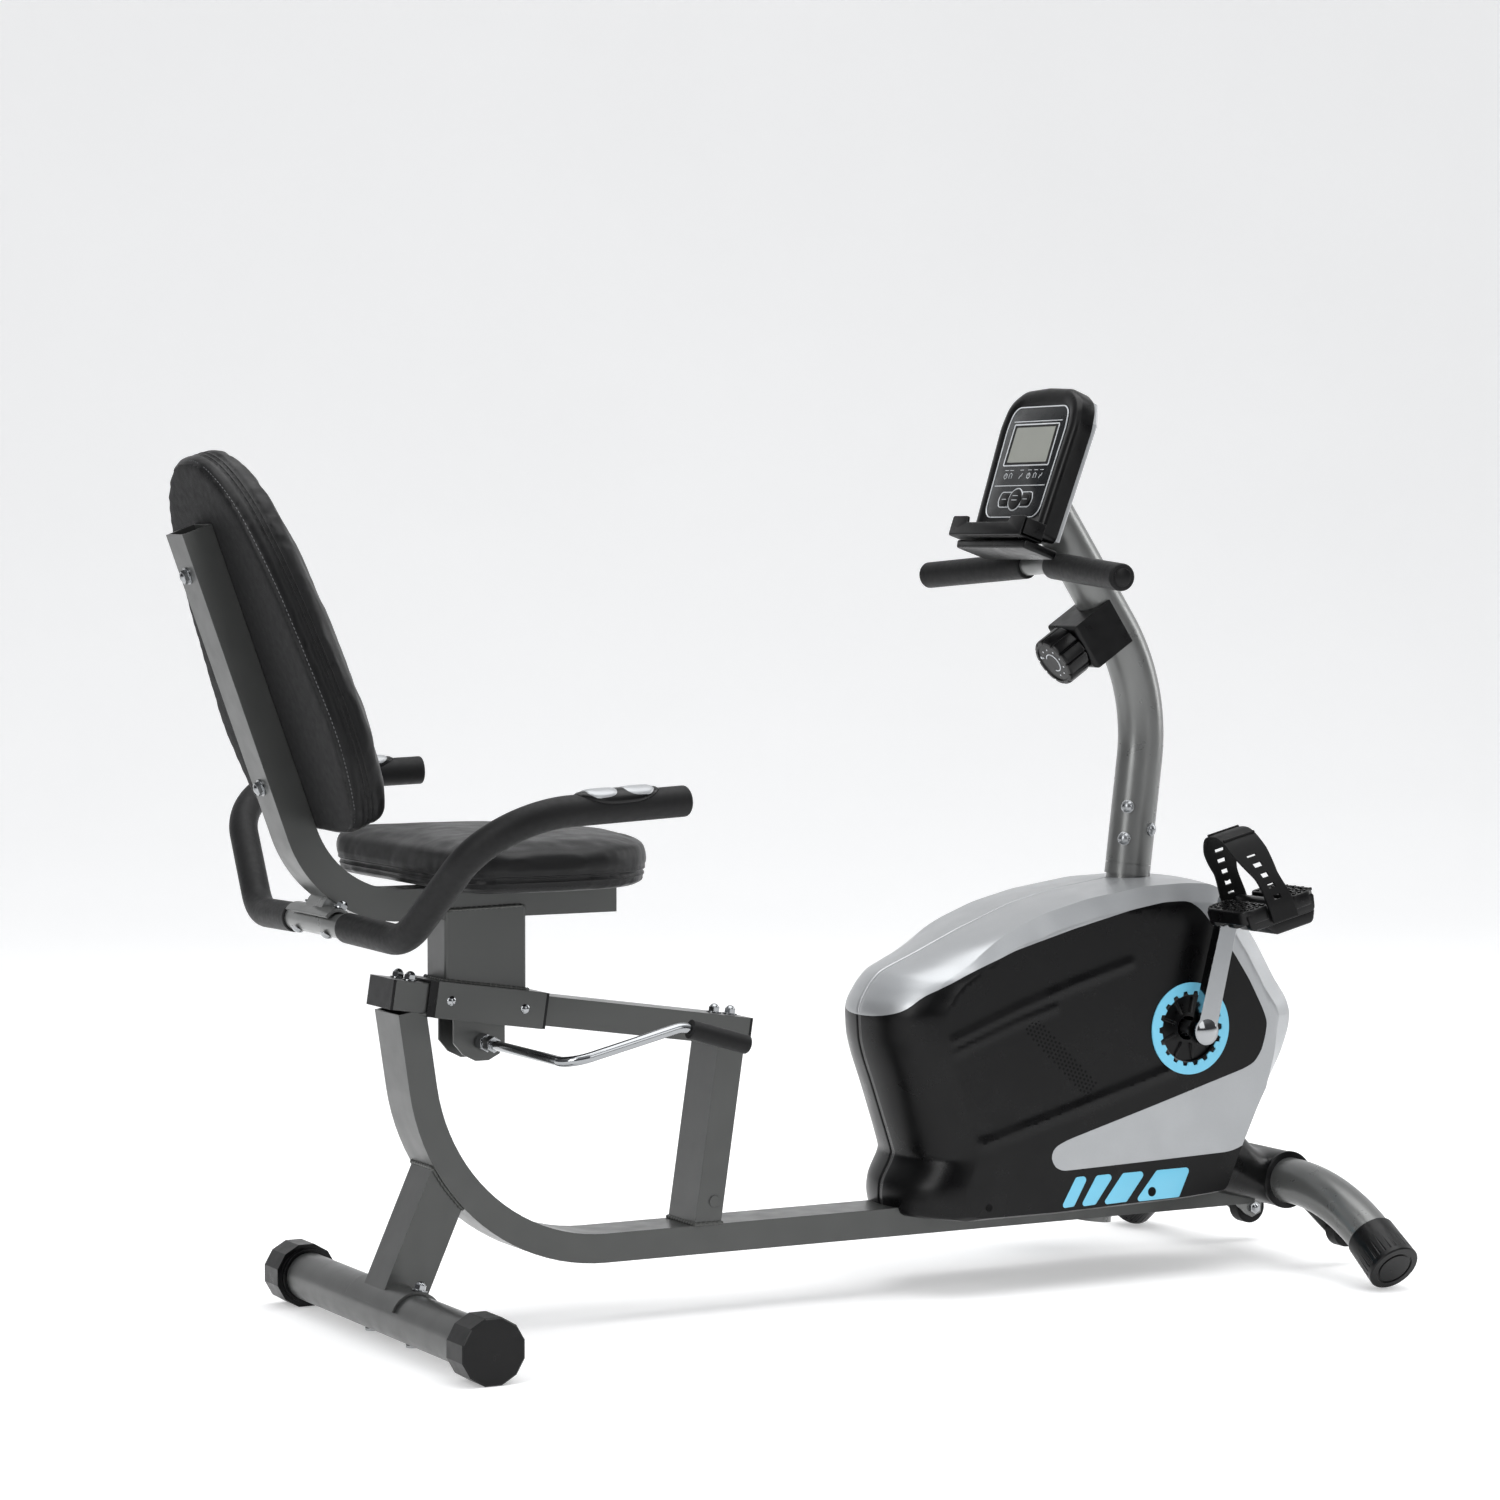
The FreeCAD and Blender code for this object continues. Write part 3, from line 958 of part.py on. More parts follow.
def crank_arm(side):
    d = CD * (1 if side < 0 else -1)
    y0 = side * arm_in
    tip_ = bbc + d * P("crank_len")
    hub = Part.makeCylinder(15, arm_t, Vector(bbc.x, y0, bbc.z), Vector(0, side, 0))
    hub = hub.fuse(dome((bbc.x, y0 + side * arm_t, bbc.z), (0, side, 0), 13, 3.0))
    end = Part.makeCylinder(12.5, arm_t, Vector(tip_.x, y0, tip_.z), Vector(0, side, 0))
    lat = Vector(d.z, 0, -d.x)
    q = [bbc + lat * 12 + Vector(0, y0, 0), bbc - lat * 12 + Vector(0, y0, 0), tip_ - lat * 10 + Vector(0, y0, 0), tip_ + lat * 10 + Vector(0, y0, 0)]
    q = [Vector(v.x, y0, v.z) for v in q]
    web = Part.Face(Part.makePolygon(q + [q[0]])).extrude(Vector(0, side * arm_t, 0))
    arm = hub.fuse(end).fuse(web)
    spindle = Part.makeCylinder(5.0, P("pedal_w") - 8 + P("pedal_in") - arm_in - arm_t, Vector(tip_.x, y0 + side * arm_t, tip_.z), Vector(0, side, 0))
    collar = Part.makeCylinder(8.0, 4.0, Vector(tip_.x, y0 + side * arm_t, tip_.z), Vector(0, side, 0))
    arm = arm.fuse(spindle).fuse(collar)
    arm = arm.cut(Part.makeCylinder(P("axle_rad") + 0.03, arm_t - 2, Vector(bbc.x, y0, bbc.z), Vector(0, side, 0)))
    return arm.removeSplitter()


feature("crank_arms", compound([crank_arm(-1), crank_arm(1)]))
by, bwid, pr = P("belt_y"), P("belt_w"), P("pulley_rad")
pu = Part.makeCylinder(pr, bwid, Vector(bbc.x, by - bwid / 2.0, bbc.z), YDIR)
pu = pu.cut(Part.makeCylinder(pr - 9, bwid / 2.0 - 2, Vector(bbc.x, by - bwid / 2.0, bbc.z), YDIR))
pu = pu.cut(Part.makeCylinder(pr - 9, bwid / 2.0 - 2, Vector(bbc.x, by + 2, bbc.z), YDIR))
pu = pu.fuse(Part.makeCylinder(18, bwid + 8, Vector(bbc.x, by - bwid / 2.0 - 4, bbc.z), YDIR))
for k in range(6):
    a = math.pi / 3 * k
    pu = pu.cut(Part.makeCylinder(15, 60, Vector(bbc.x + 50 * math.cos(a), by - 30, bbc.z + 50 * math.sin(a)), YDIR))
pu = pu.cut(Part.makeCylinder(P("axle_rad") + 0.03, 60, Vector(bbc.x, by - 30, bbc.z), YDIR))
feature("drive_pulley", pu.removeSplitter())
fxx, fzz, frr, fww, fpr = P("fly_x"), P("fly_z"), P("fly_rad"), P("fly_w"), P("fly_pulley_rad")
fl = Part.makeCylinder(frr, fww, Vector(fxx, -fww / 2.0, fzz), YDIR)
fl = fl.cut(Part.makeCylinder(frr - 16, 5, Vector(fxx, -fww / 2.0, fzz), YDIR).cut(Part.makeCylinder(24, 5, Vector(fxx, -fww / 2.0, fzz), YDIR)))
fl = fl.cut(Part.makeCylinder(frr - 16, 5, Vector(fxx, fww / 2.0 - 5, fzz), YDIR).cut(Part.makeCylinder(24, 5, Vector(fxx, fww / 2.0 - 5, fzz), YDIR)))
fl = fl.fuse(Part.makeCylinder(fpr, by + bwid / 2.0 - fww / 2.0, Vector(fxx, fww / 2.0, fzz), YDIR))
fl = fl.cut(Part.makeCylinder(6.06, 200, Vector(fxx, -100, fzz), YDIR))
feature("flywheel", fl.removeSplitter())
round_tube("flywheel_axle", frame_at((fxx, -32, fzz), (1, 0, 0), (0, 1, 0)), "6.0 mm", None, "100 mm")
brk = []
for y0 in (-29.5, 60.5):
    base_y = y0
    top_z = fzz
    pts2 = [(fxx - 26, P("base_z") + FT / 2.0), (fxx + 26, P("base_z") + FT / 2.0), (fxx + 14, fzz + 12), (fxx - 14, fzz + 12)]
    p_ = polygon_prism(pts2, base_y, base_y + 4)
    p_ = p_.cut(Part.makeCylinder(6.03, 20, Vector(fxx, base_y - 5, fzz), YDIR))
    brk.append(p_)
brk[1] = brk[1].fuse(Part.makeBox(52, 64.5 - 24, 4, Vector(fxx - 26, 24, P("base_z") + FT / 2.0)))
feature("flywheel_brackets", compound(brk))


def belt_loop():
    """Flat belt round the drive pulley and the flywheel's small pulley."""
    y0 = by - (bwid - 2) / 2.0
    c1 = Vector(bbc.x, y0, bbc.z)
    c2 = Vector(fxx, y0, fzz)
    d = c2 - c1
    L = d.Length
    base = math.atan2(d.z, d.x)

    def loop(r1, r2):
        al = math.acos((r1 - r2) / L)
        p = []
        for s_ in (1, -1):
            a = base + s_ * al
            p.append((c1 + Vector(math.cos(a), 0, math.sin(a)) * r1, c2 + Vector(math.cos(a), 0, math.sin(a)) * r2))
        m1 = c1 - Vector(math.cos(base), 0, math.sin(base)) * r1
        m2 = c2 + Vector(math.cos(base), 0, math.sin(base)) * r2
        e = [Part.LineSegment(p[0][0], p[0][1]).toShape(), Part.Arc(p[0][1], m2, p[1][1]).toShape(),
             Part.LineSegment(p[1][1], p[1][0]).toShape(), Part.Arc(p[1][0], m1, p[0][0]).toShape()]
        return Part.Face(Part.Wire(e))

    f = loop(pr + 2.3, fpr + 2.3).extrude(Vector(0, bwid - 2, 0))
    g = loop(pr + 0.3, fpr + 0.3).extrude(Vector(0, bwid - 2, 0))
    return f.cut(g)


feature("drive_belt", belt_loop())
# brake: magnet carrier that swings towards the flywheel's rim
mp = Vector(fxx - frr - 12, 0, P("base_z") + FT / 2.0 + 24)
arc_pts = []
for k in range(9):
    a = rad(-28 + 56 * k / 8.0)
    arc_pts.append((fxx - (frr + 4) * math.cos(a), fzz + (frr + 4) * math.sin(a)))
for k in range(8, -1, -1):
    a = rad(-28 + 56 * k / 8.0)
    arc_pts.append((fxx - (frr + 13) * math.cos(a), fzz + (frr + 13) * math.sin(a)))
mag = polygon_prism(arc_pts, -13, 13)
tail = polygon_prism([(fxx - (frr + 5) * math.cos(rad(-28)), fzz + (frr + 5) * math.sin(rad(-28))),
                      (fxx - (frr + 12.9) * math.cos(rad(-28)), fzz + (frr + 12.9) * math.sin(rad(-28))),
                      (mp.x - 9, mp.z), (mp.x - 6, mp.z - 8), (mp.x + 6, mp.z - 8), (mp.x + 8, mp.z)], -13, 13)
mag = mag.fuse(tail).removeSplitter()
mag = mag.cut(Part.makeCylinder(3.06, 60, Vector(mp.x, -30, mp.z), YDIR))
feature("magnet_bracket", mag)
pivot = Part.makeCylinder(3.0, 40, Vector(mp.x, -20, mp.z), YDIR)
for y0 in (-17.5, 14.5):
    pivot = pivot.fuse(polygon_prism([(mp.x - 9, P("base_z") + FT / 2.0), (mp.x + 9, P("base_z") + FT / 2.0), (mp.x + 6, mp.z + 6), (mp.x - 6, mp.z + 6)], y0, y0 + 3))
feature("magnet_pivot", pivot.removeSplitter())

# ================================================================ pedals
pa = rad(P("pedal_tilt"))
PX = Vector(math.cos(pa), 0, math.sin(pa))
PZ = Vector(-math.sin(pa), 0, math.cos(pa))


def pedal(side):
    d = CD * (1 if side < 0 else -1)
    c = bbc + d * P("crank_len")
    y0, w = P("pedal_in"), P("pedal_w")

    def pp(x, y, z):
        v = c + PX * x + PZ * z
        return Vector(v.x, side * y, v.z)

    def slab(x0, x1, ya, yb, z0, z1):
        q = [pp(x0, ya, z0), pp(x1, ya, z0), pp(x1, ya, z1), pp(x0, ya, z1)]
        return Part.Face(Part.makePolygon(q + [q[0]])).extrude(Vector(0, side * (yb - ya), 0))

    hub = Part.makeCylinder(10, w - 2, Vector(c.x, side * (y0 + 1), c.z), Vector(0, side, 0))
    rear_t = slab(-48, -20, y0, y0 + w, -4, 12)
    front_t = slab(20, 48, y0, y0 + w, -4, 12)
    ends_ = [slab(-46, 46, y0 + e, y0 + e + 9, -13, 8) for e in (0, w - 9)]
    mid_ = slab(-22, 22, y0 + 32, y0 + w - 32, -10, 6)
    body = hub.fuse(rear_t).fuse(front_t).fuse(ends_[0]).fuse(ends_[1]).fuse(mid_)
    low = slab(-20, 44, y0 + 12, y0 + w - 12, -26, -12)
    low = low.fuse(slab(-6, 40, y0 + 4, y0 + w - 4, -16, -8))
    body = body.fuse(low)
    body = body.cut(Part.makeCylinder(5.06, w + 20, Vector(c.x, side * (y0 - 10), c.z), Vector(0, side, 0)))
    for x0 in (-44, -34, 24, 34):
        for k in range(4):
            ya = y0 + 7 + k * 17
            body = body.cut(slab(x0, x0 + 6, ya, ya + 11, 9.6, 13))
    body = body.removeSplitter()
    s_out = []
    lean = 0.15

    def offset_line(line, d):
        """The same open line moved d to its right-hand side."""
        nn = []
        for (ya, za), (yb, zb) in zip(line[:-1], line[1:]):
            l_ = math.hypot(yb - ya, zb - za)
            nn.append(((zb - za) / l_, -(yb - ya) / l_))
        out_ = []
        for k_, (y_, z_) in enumerate(line):
            a_, b_ = nn[max(0, k_ - 1)], nn[min(len(nn) - 1, k_)]
            m_ = (a_[0] + b_[0], a_[1] + b_[1])
            q_ = 2.0 / (m_[0] ** 2 + m_[1] ** 2)
            out_.append((y_ + m_[0] * q_ * d, z_ + m_[1] * q_ * d))
        return out_

    # line of the strap: up beside the crank, over the foot, leaning in again
    # from the outer end of the pedal
    arch = [(y0 - 6.5, -8), (y0 - 6.5, 30), (y0 - 3, 60), (y0 + 10, 83), (y0 + w - 36, 86),
            (y0 + w - 18, 60), (y0 + w + 3.5, 18), (y0 + w + 3.5, -8)]
    ol = arch + list(reversed(offset_line(arch, 3.0)))
    q = [pp(-30 - lean * z, y, z) for y, z in ol]
    strap = Part.Face(Part.makePolygon(q + [q[0]])).extrude(PX * 60)
    # narrow at the sides, wider where it lies on the foot
    pr_ = [(-16, -20), (14, -20), (14, 40), (20, 66), (20, 100), (-23, 100), (-23, 66), (-16, 40)]
    q = [pp(x - lean * z, y0 - 20, z) for x, z in pr_]
    strap = strap.common(Part.Face(Part.makePolygon(q + [q[0]])).extrude(Vector(0, side * (w + 40), 0)))
    for k in range(2):
        zz = 20 + 15 * k
        xo = -lean * zz
        for ya in (y0 - 12, y0 + w - 16):
            q2 = [pp(xo - 6, ya, zz), pp(xo + 4, ya, zz), pp(xo + 4, ya, zz + 7), pp(xo - 6, ya, zz + 7)]
            strap = strap.cut(Part.Face(Part.makePolygon(q2 + [q2[0]])).extrude(Vector(0, side * (12 if ya < y0 else 24), 0)))
    strap = strap.cut(Part.makeCylinder(5.4, 12, Vector(c.x, side * (y0 - 10), c.z), Vector(0, side, 0)))
    return body, strap


for side, nm in ((-1, "right"), (1, "left")):
    b_, s_ = pedal(side)
    feature("pedal_" + nm, b_)
    feature("pedal_strap_" + nm, s_)

# ================================================================ transport wheels
for side, nm in ((-1, "right"), (1, "left")):
    y0 = side * wy
    w = Part.makeCylinder(P("wheel_rad"), P("wheel_w") - 0.6, Vector(wx, y0 - P("wheel_w") / 2.0 + 0.3, wz), YDIR)
    w = w.makeFillet(2.5, [e for e in w.Edges if len(e.Vertexes) == 1])
    w = w.cut(Part.makeCylinder(4.07, 60, Vector(wx, y0 - 30, wz), YDIR))
    feature("transport_wheel_" + nm, w)

# ================================================================ check and write
doc.recompute()
bad = []
for o in doc.Objects:
    if "Invalid" in o.State or "Error" in o.State:
        bad.append("state " + o.Name + " " + str(o.State))
for label, o in NODES:
    s = o.Shape
    if s.isNull() or not s.isValid():
        bad.append("shape " + label)
if len(set(l for l, _ in NODES)) != len(NODES):
    bad.append("labels repeat")
if bad:
    raise RuntimeError("; ".join(bad))
box = FreeCAD.BoundBox()
for label, o in NODES:
    box.add(o.Shape.BoundBox)
    o.Shape.exportStep("parts/%s.step" % label)
print("nodes", len(NODES))
print("box", [round(v, 2) for v in (box.XMin, box.XMax, box.YMin, box.YMax, box.ZMin, box.ZMax)])
for label, o in NODES:
    print(label, "solids", len(o.Shape.Solids), "volume cm3", round(o.Shape.Volume / 1000.0, 1))
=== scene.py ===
import bpy
import bmesh
import json
import math
import random
import numpy as np
from mathutils import Vector, Matrix, geometry, noise
from mathutils.bvhtree import BVHTree

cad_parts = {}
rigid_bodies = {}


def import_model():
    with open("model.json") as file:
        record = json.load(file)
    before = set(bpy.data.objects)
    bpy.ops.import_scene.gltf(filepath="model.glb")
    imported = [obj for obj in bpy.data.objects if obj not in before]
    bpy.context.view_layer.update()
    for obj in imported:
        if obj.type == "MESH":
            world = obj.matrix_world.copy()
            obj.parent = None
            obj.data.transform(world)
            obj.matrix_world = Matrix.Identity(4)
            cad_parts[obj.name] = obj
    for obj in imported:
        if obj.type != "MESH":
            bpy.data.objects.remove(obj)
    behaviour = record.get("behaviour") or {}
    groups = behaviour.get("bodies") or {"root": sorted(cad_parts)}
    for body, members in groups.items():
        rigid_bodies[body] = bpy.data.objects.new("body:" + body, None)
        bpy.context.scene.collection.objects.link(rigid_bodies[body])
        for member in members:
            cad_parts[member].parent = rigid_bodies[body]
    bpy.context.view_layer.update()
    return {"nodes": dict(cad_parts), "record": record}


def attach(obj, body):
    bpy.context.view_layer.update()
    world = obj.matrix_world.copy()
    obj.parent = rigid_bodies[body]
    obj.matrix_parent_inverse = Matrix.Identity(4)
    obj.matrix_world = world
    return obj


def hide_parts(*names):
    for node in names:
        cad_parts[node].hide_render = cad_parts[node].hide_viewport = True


for _o in list(bpy.data.objects):
    bpy.data.objects.remove(_o)
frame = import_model()
NODES = frame["nodes"]
SLOT = {s["node"]: s["material_slot"] for s in frame["record"]["subparts"]}
XS = 453.73
random.seed(7)
PI = math.pi


def V(x, y, z):
    return Vector(((x - XS) / 1000.0, y / 1000.0, z / 1000.0))


# ------------------------------------------------------------------ materials
def material(name, color, rough, metal=0.0, var=0.08, rvar=0.06, scale=30.0, bump=0.0, bscale=900.0, grain="noise",
             bevel=0.0, coat=0.0, coat_rough=0.2, sheen=0.0, spec=0.5, flake=0.0, trans=0.0):
    m = bpy.data.materials.new(name)
    m.use_nodes = True
    nt = m.node_tree
    N, L = nt.nodes, nt.links
    b = N["Principled BSDF"]
    tc = N.new("ShaderNodeTexCoord")
    nz = N.new("ShaderNodeTexNoise")
    nz.inputs["Scale"].default_value = scale
    nz.inputs["Detail"].default_value = 5.0
    L.new(tc.outputs["Object"], nz.inputs["Vector"])
    mix = N.new("ShaderNodeMix")
    mix.data_type = "RGBA"
    mix.inputs[6].default_value = [max(0.0, c * (1 - var)) for c in color] + [1]
    mix.inputs[7].default_value = [min(1.0, c * (1 + var)) for c in color] + [1]
    L.new(nz.outputs["Fac"], mix.inputs[0])
    last = mix.outputs[2]
    if flake:
        fl = N.new("ShaderNodeTexVoronoi")
        fl.inputs["Scale"].default_value = 2600.0
        L.new(tc.outputs["Object"], fl.inputs["Vector"])
        fm = N.new("ShaderNodeMix")
        fm.data_type = "RGBA"
        mr0 = N.new("ShaderNodeMapRange")
        mr0.inputs["From Min"].default_value = 0.0
        mr0.inputs["From Max"].default_value = 1.0
        mr0.inputs["To Min"].default_value = 0.0
        mr0.inputs["To Max"].default_value = flake
        L.new(fl.outputs["Color"], mr0.inputs["Value"])
        L.new(mr0.outputs[0], fm.inputs[0])
        L.new(last, fm.inputs[6])
        fm.inputs[7].default_value = [min(1.0, c * 2.2 + 0.05) for c in color] + [1]
        last = fm.outputs[2]
    L.new(last, b.inputs["Base Color"])
    mr = N.new("ShaderNodeMapRange")
    mr.inputs["From Min"].default_value = 0.3
    mr.inputs["From Max"].default_value = 0.7
    mr.inputs["To Min"].default_value = max(0.02, rough - rvar)
    mr.inputs["To Max"].default_value = min(1.0, rough + rvar)
    nz2 = N.new("ShaderNodeTexNoise")
    nz2.inputs["Scale"].default_value = scale * 3.1
    nz2.inputs["Detail"].default_value = 6.0
    L.new(tc.outputs["Object"], nz2.inputs["Vector"])
    L.new(nz2.outputs["Fac"], mr.inputs["Value"])
    L.new(mr.outputs[0], b.inputs["Roughness"])
    b.inputs["Metallic"].default_value = metal
    b.inputs["Specular IOR Level"].default_value = spec
    b.inputs["Coat Weight"].default_value = coat
    b.inputs["Coat Roughness"].default_value = coat_rough
    b.inputs["Sheen Weight"].default_value = sheen
    b.inputs["Transmission Weight"].default_value = trans
    normal = None
    if bevel:
        bv = N.new("ShaderNodeBevel")
        bv.samples = 4
        bv.inputs["Radius"].default_value = bevel
        normal = bv.outputs[0]
    if bump:
        bp = N.new("ShaderNodeBump")
        bp.inputs["Strength"].default_value = 0.6
        bp.inputs["Distance"].default_value = bump
        if grain == "voronoi":
            g = N.new("ShaderNodeTexVoronoi")
            g.feature = "DISTANCE_TO_EDGE"
            g.inputs["Scale"].default_value = bscale
            L.new(tc.outputs["Object"], g.inputs["Vector"])
            L.new(g.outputs["Distance"], bp.inputs["Height"])
        else:
            g = N.new("ShaderNodeTexNoise")
            g.inputs["Scale"].default_value = bscale
            g.inputs["Detail"].default_value = 3.0
            L.new(tc.outputs["Object"], g.inputs["Vector"])
            L.new(g.outputs["Fac"], bp.inputs["Height"])
        if normal is not None:
            L.new(normal, bp.inputs["Normal"])
        normal = bp.outputs[0]
    if normal is not None:
        L.new(normal, b.inputs["Normal"])
    return m


def hexc(h):
    return tuple(((int(h[i:i + 2], 16) / 255.0) ** 2.2) for i in (1, 3, 5))


M = {
    "frame_paint": material("frame_paint", hexc("#4a4b4a"), 0.34, 0.5, var=0.05, scale=14, bevel=0.0010, coat=0.25, coat_rough=0.3),
    "cover_black": material("cover_black", hexc("#0b0b0c"), 0.30, 0.0, var=0.10, scale=9, spec=0.22),
    "cover_silver": material("cover_silver", hexc("#a2a4a6"), 0.34, 0.55, var=0.03, scale=10, coat=0.2, coat_rough=0.25, flake=0.08),
    "silver_plastic": material("silver_plastic", hexc("#a3a5a7"), 0.35, 0.4, var=0.04, scale=12, bevel=0.001),
    "black_plastic": material("black_plastic", hexc("#0c0c0d"), 0.32, 0.0, var=0.12, scale=25, bevel=0.0008, spec=0.26),
    "panel_grey": material("panel_grey", hexc("#17191b"), 0.28, 0.0, var=0.05, scale=20, coat=0.2, spec=0.3),
    "print_silver": material("print_silver", hexc("#c9cccf"), 0.35, 0.2, var=0.05, scale=60),
    "blue_trim": material("blue_trim", hexc("#74c4e2"), 0.34, 0.0, var=0.04, scale=14, coat=0.1),
    "chrome_steel": material("chrome_steel", hexc("#97999b"), 0.10, 1.0, var=0.04, rvar=0.03, scale=40, bevel=0.0006),
    "zinc_steel": material("zinc_steel", hexc("#8f9193"), 0.30, 1.0, var=0.08, scale=60, bevel=0.0006),
    "vinyl": material("vinyl", hexc("#0e0e0f"), 0.42, 0.0, var=0.10, scale=18, bump=0.00016, bscale=850, grain="voronoi", spec=0.24, sheen=0.02),
    "vinyl_back": material("vinyl_back", hexc("#121213"), 0.62, 0.0, var=0.10, scale=40, bump=0.0002, bscale=1500, spec=0.16, sheen=0.03),
    "thread": material("thread", hexc("#606163"), 0.7, 0.0, var=0.12, scale=400),
    "thread_dark": material("thread_dark", hexc("#1c1c1d"), 0.7, 0.0, var=0.12, scale=400),
    "foam_rubber": material("foam_rubber", hexc("#101011"), 0.55, 0.0, var=0.12, scale=60, bump=0.00016, bscale=1200, spec=0.24, sheen=0.03),
    "tyre_rubber": material("tyre_rubber", hexc("#0c0c0d"), 0.5, 0.0, var=0.12, scale=60, bevel=0.0006, spec=0.22),
    "iron": material("iron", hexc("#55575a"), 0.4, 0.9, var=0.1, scale=80, bump=0.00005),
    "screen_glass": material("screen_glass", hexc("#7e8079"), 0.22, 0.0, var=0.05, scale=16, coat=0.6, coat_rough=0.08),
    "board_green": material("board_green", hexc("#2c5a3a"), 0.5, 0.0, var=0.15, scale=120),
    "alloy": material("alloy", hexc("#a9abad"), 0.35, 0.9, var=0.08, scale=60),
    "tube_silver": material("tube_silver", hexc("#6a6b6a"), 0.32, 0.55, var=0.04, scale=16, coat=0.3, coat_rough=0.28),
    "weld": material("weld", hexc("#50514f"), 0.42, 0.5, var=0.12, scale=200, bump=0.0002, bscale=600),
    # painted shade: this dark matte colour goes on flat plates that stand in for the shaded insides of the vent and
    # screw holes
    "painted_hole_shade": material("painted_hole_shade", hexc("#0b0b0c"), 0.8, 0.0, var=0.2, scale=80, spec=0.2),
}
LOOK = {"mast": "tube_silver", "mast_bolts": "zinc_steel", "upright_tube": "tube_silver", "front_stabilizer": "tube_silver"}
for n, o in NODES.items():
    o.data.materials.clear()
    o.data.materials.append(M[LOOK.get(n, SLOT[n])])


# ------------------------------------------------------------------ mesh helpers
def new_mesh(name, verts, faces, mats, body=None, smooth=True, idx=None, auto=None):
    me = bpy.data.meshes.new(name)
    me.from_pydata([tuple(v) for v in verts], [], faces)
    me.validate()
    o = bpy.data.objects.new(name, me)
    bpy.context.scene.collection.objects.link(o)
    for m in mats if isinstance(mats, (list, tuple)) else [mats]:
        me.materials.append(m)
    bm = bmesh.new()
    bm.from_mesh(me)
    bmesh.ops.recalc_face_normals(bm, faces=bm.faces)
    if idx is not None and len(idx) == len(bm.faces):
        for f, i in zip(bm.faces, idx):
            f.material_index = i
    for f in bm.faces:
        f.smooth = smooth
    if auto is not None:
        for e in bm.edges:
            if len(e.link_faces) == 2 and e.calc_face_angle(0) > math.radians(auto):
                e.smooth = False
    bm.to_mesh(me)
    bm.free()
    if body:
        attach(o, body)
    return o


def rounded(points, radii, step=4.0):
    """Points (mm) along straight runs joined by tangent arcs."""
    P = [Vector(p) for p in points]
    out = []
    cur = P[0]

    def run(a, b):
        n = max(1, int((b - a).length / step))
        for i in range(n):
            out.append(a.lerp(b, i / n))

    for k in range(1, len(P) - 1):
        a = (P[k - 1] - P[k]).normalized()
        b = (P[k + 1] - P[k]).normalized()
        half = a.angle(b) / 2.0
        r = radii[k - 1]
        t = r / math.tan(half)
        p1, p2 = P[k] + a * t, P[k] + b * t
        c = P[k] + (a + b).normalized() * (r / math.sin(half))
        run(cur, p1)
        sweep_a = PI - 2 * half
        m = max(3, int(r * sweep_a / (step * 0.7)))
        u = (p1 - c).normalized()
        w = (p2 - c)
        w = (w - u * w.dot(u)).normalized()
        for i in range(m):
            ang = sweep_a * i / m
            out.append(c + (u * math.cos(ang) + w * math.sin(ang)) * r)
        cur = p2
    run(cur, P[-1])
    out.append(P[-1])
    return out


def frames_along(pts):
    n = len(pts)
    tan = []
    for i in range(n):
        a, b = pts[max(0, i - 1)], pts[min(n - 1, i + 1)]
        tan.append((b - a).normalized())
    ref = Vector((0, 0, 1)) if abs(tan[0].z) < 0.9 else Vector((1, 0, 0))
    u = tan[0].cross(ref).normalized()
    fr = []
    for t in tan:
        u = (u - t * u.dot(t)).normalized()
        fr.append((t, u, t.cross(u)))
    return fr


def sweep_geo(pts, radii, seg=28, closed=False):
    """Tube round a line of points in metres."""
    fr = frames_along(pts)
    verts, faces = [], []
    n = len(pts)
    for i, p in enumerate(pts):
        t, u, v = fr[i]
        r = radii[i] if isinstance(radii, (list, tuple)) else radii
        for k in range(seg):
            a = 2 * PI * k / seg
            verts.append(p + (u * math.cos(a) + v * math.sin(a)) * r)
    m = n if closed else n - 1
    for i in range(m):
        for k in range(seg):
            k2 = (k + 1) % seg
            i2 = (i + 1) % n
            faces.append((i * seg + k, i * seg + k2, i2 * seg + k2, i2 * seg + k))
    if not closed:
        faces.append(tuple(range(seg - 1, -1, -1)))
        faces.append(tuple((n - 1) * seg + k for k in range(seg)))
    return verts, faces


def soft_tube(name, pts_mm, r_mm, mat, body, round_a=0.0, round_b=0.0, seg=32):
    pts = [V(*p) for p in pts_mm]
    radii = [r_mm / 1000.0] * len(pts)

    def cap(p, t, rr):
        out_p, out_r = [], []
        for k in range(6):
            a = PI / 2 * k / 5
            out_p.append(p + t * (rr / 1000.0) * math.sin(a))
            out_r.append((r_mm - rr + rr * math.cos(a)) / 1000.0)
        out_p.append(p + t * (rr / 1000.0) * 1.0005)
        out_r.append((r_mm - rr) * 0.55 / 1000.0)
        return out_p, out_r

    fr = frames_along(pts)
    if round_b:
        t = fr[-1][0]
        base = pts[-1] - t * (round_b / 1000.0)
        while len(pts) > 2 and (pts[-1] - base).dot(t) > -0.0005:
            pts.pop(), radii.pop()
        p2, r2 = cap(base, t, round_b)
        pts += p2
        radii += r2
    if round_a:
        t = -fr[0][0]
        base = pts[0] - t * (round_a / 1000.0)
        while len(pts) > 2 and (pts[0] - base).dot(t) > -0.0005:
            pts.pop(0), radii.pop(0)
        p2, r2 = cap(base, t, round_a)
        pts = list(reversed(p2)) + pts
        radii = list(reversed(r2)) + radii
    v, f = sweep_geo(pts, radii, seg)
    return new_mesh(name, v, f, mat, body, auto=50)


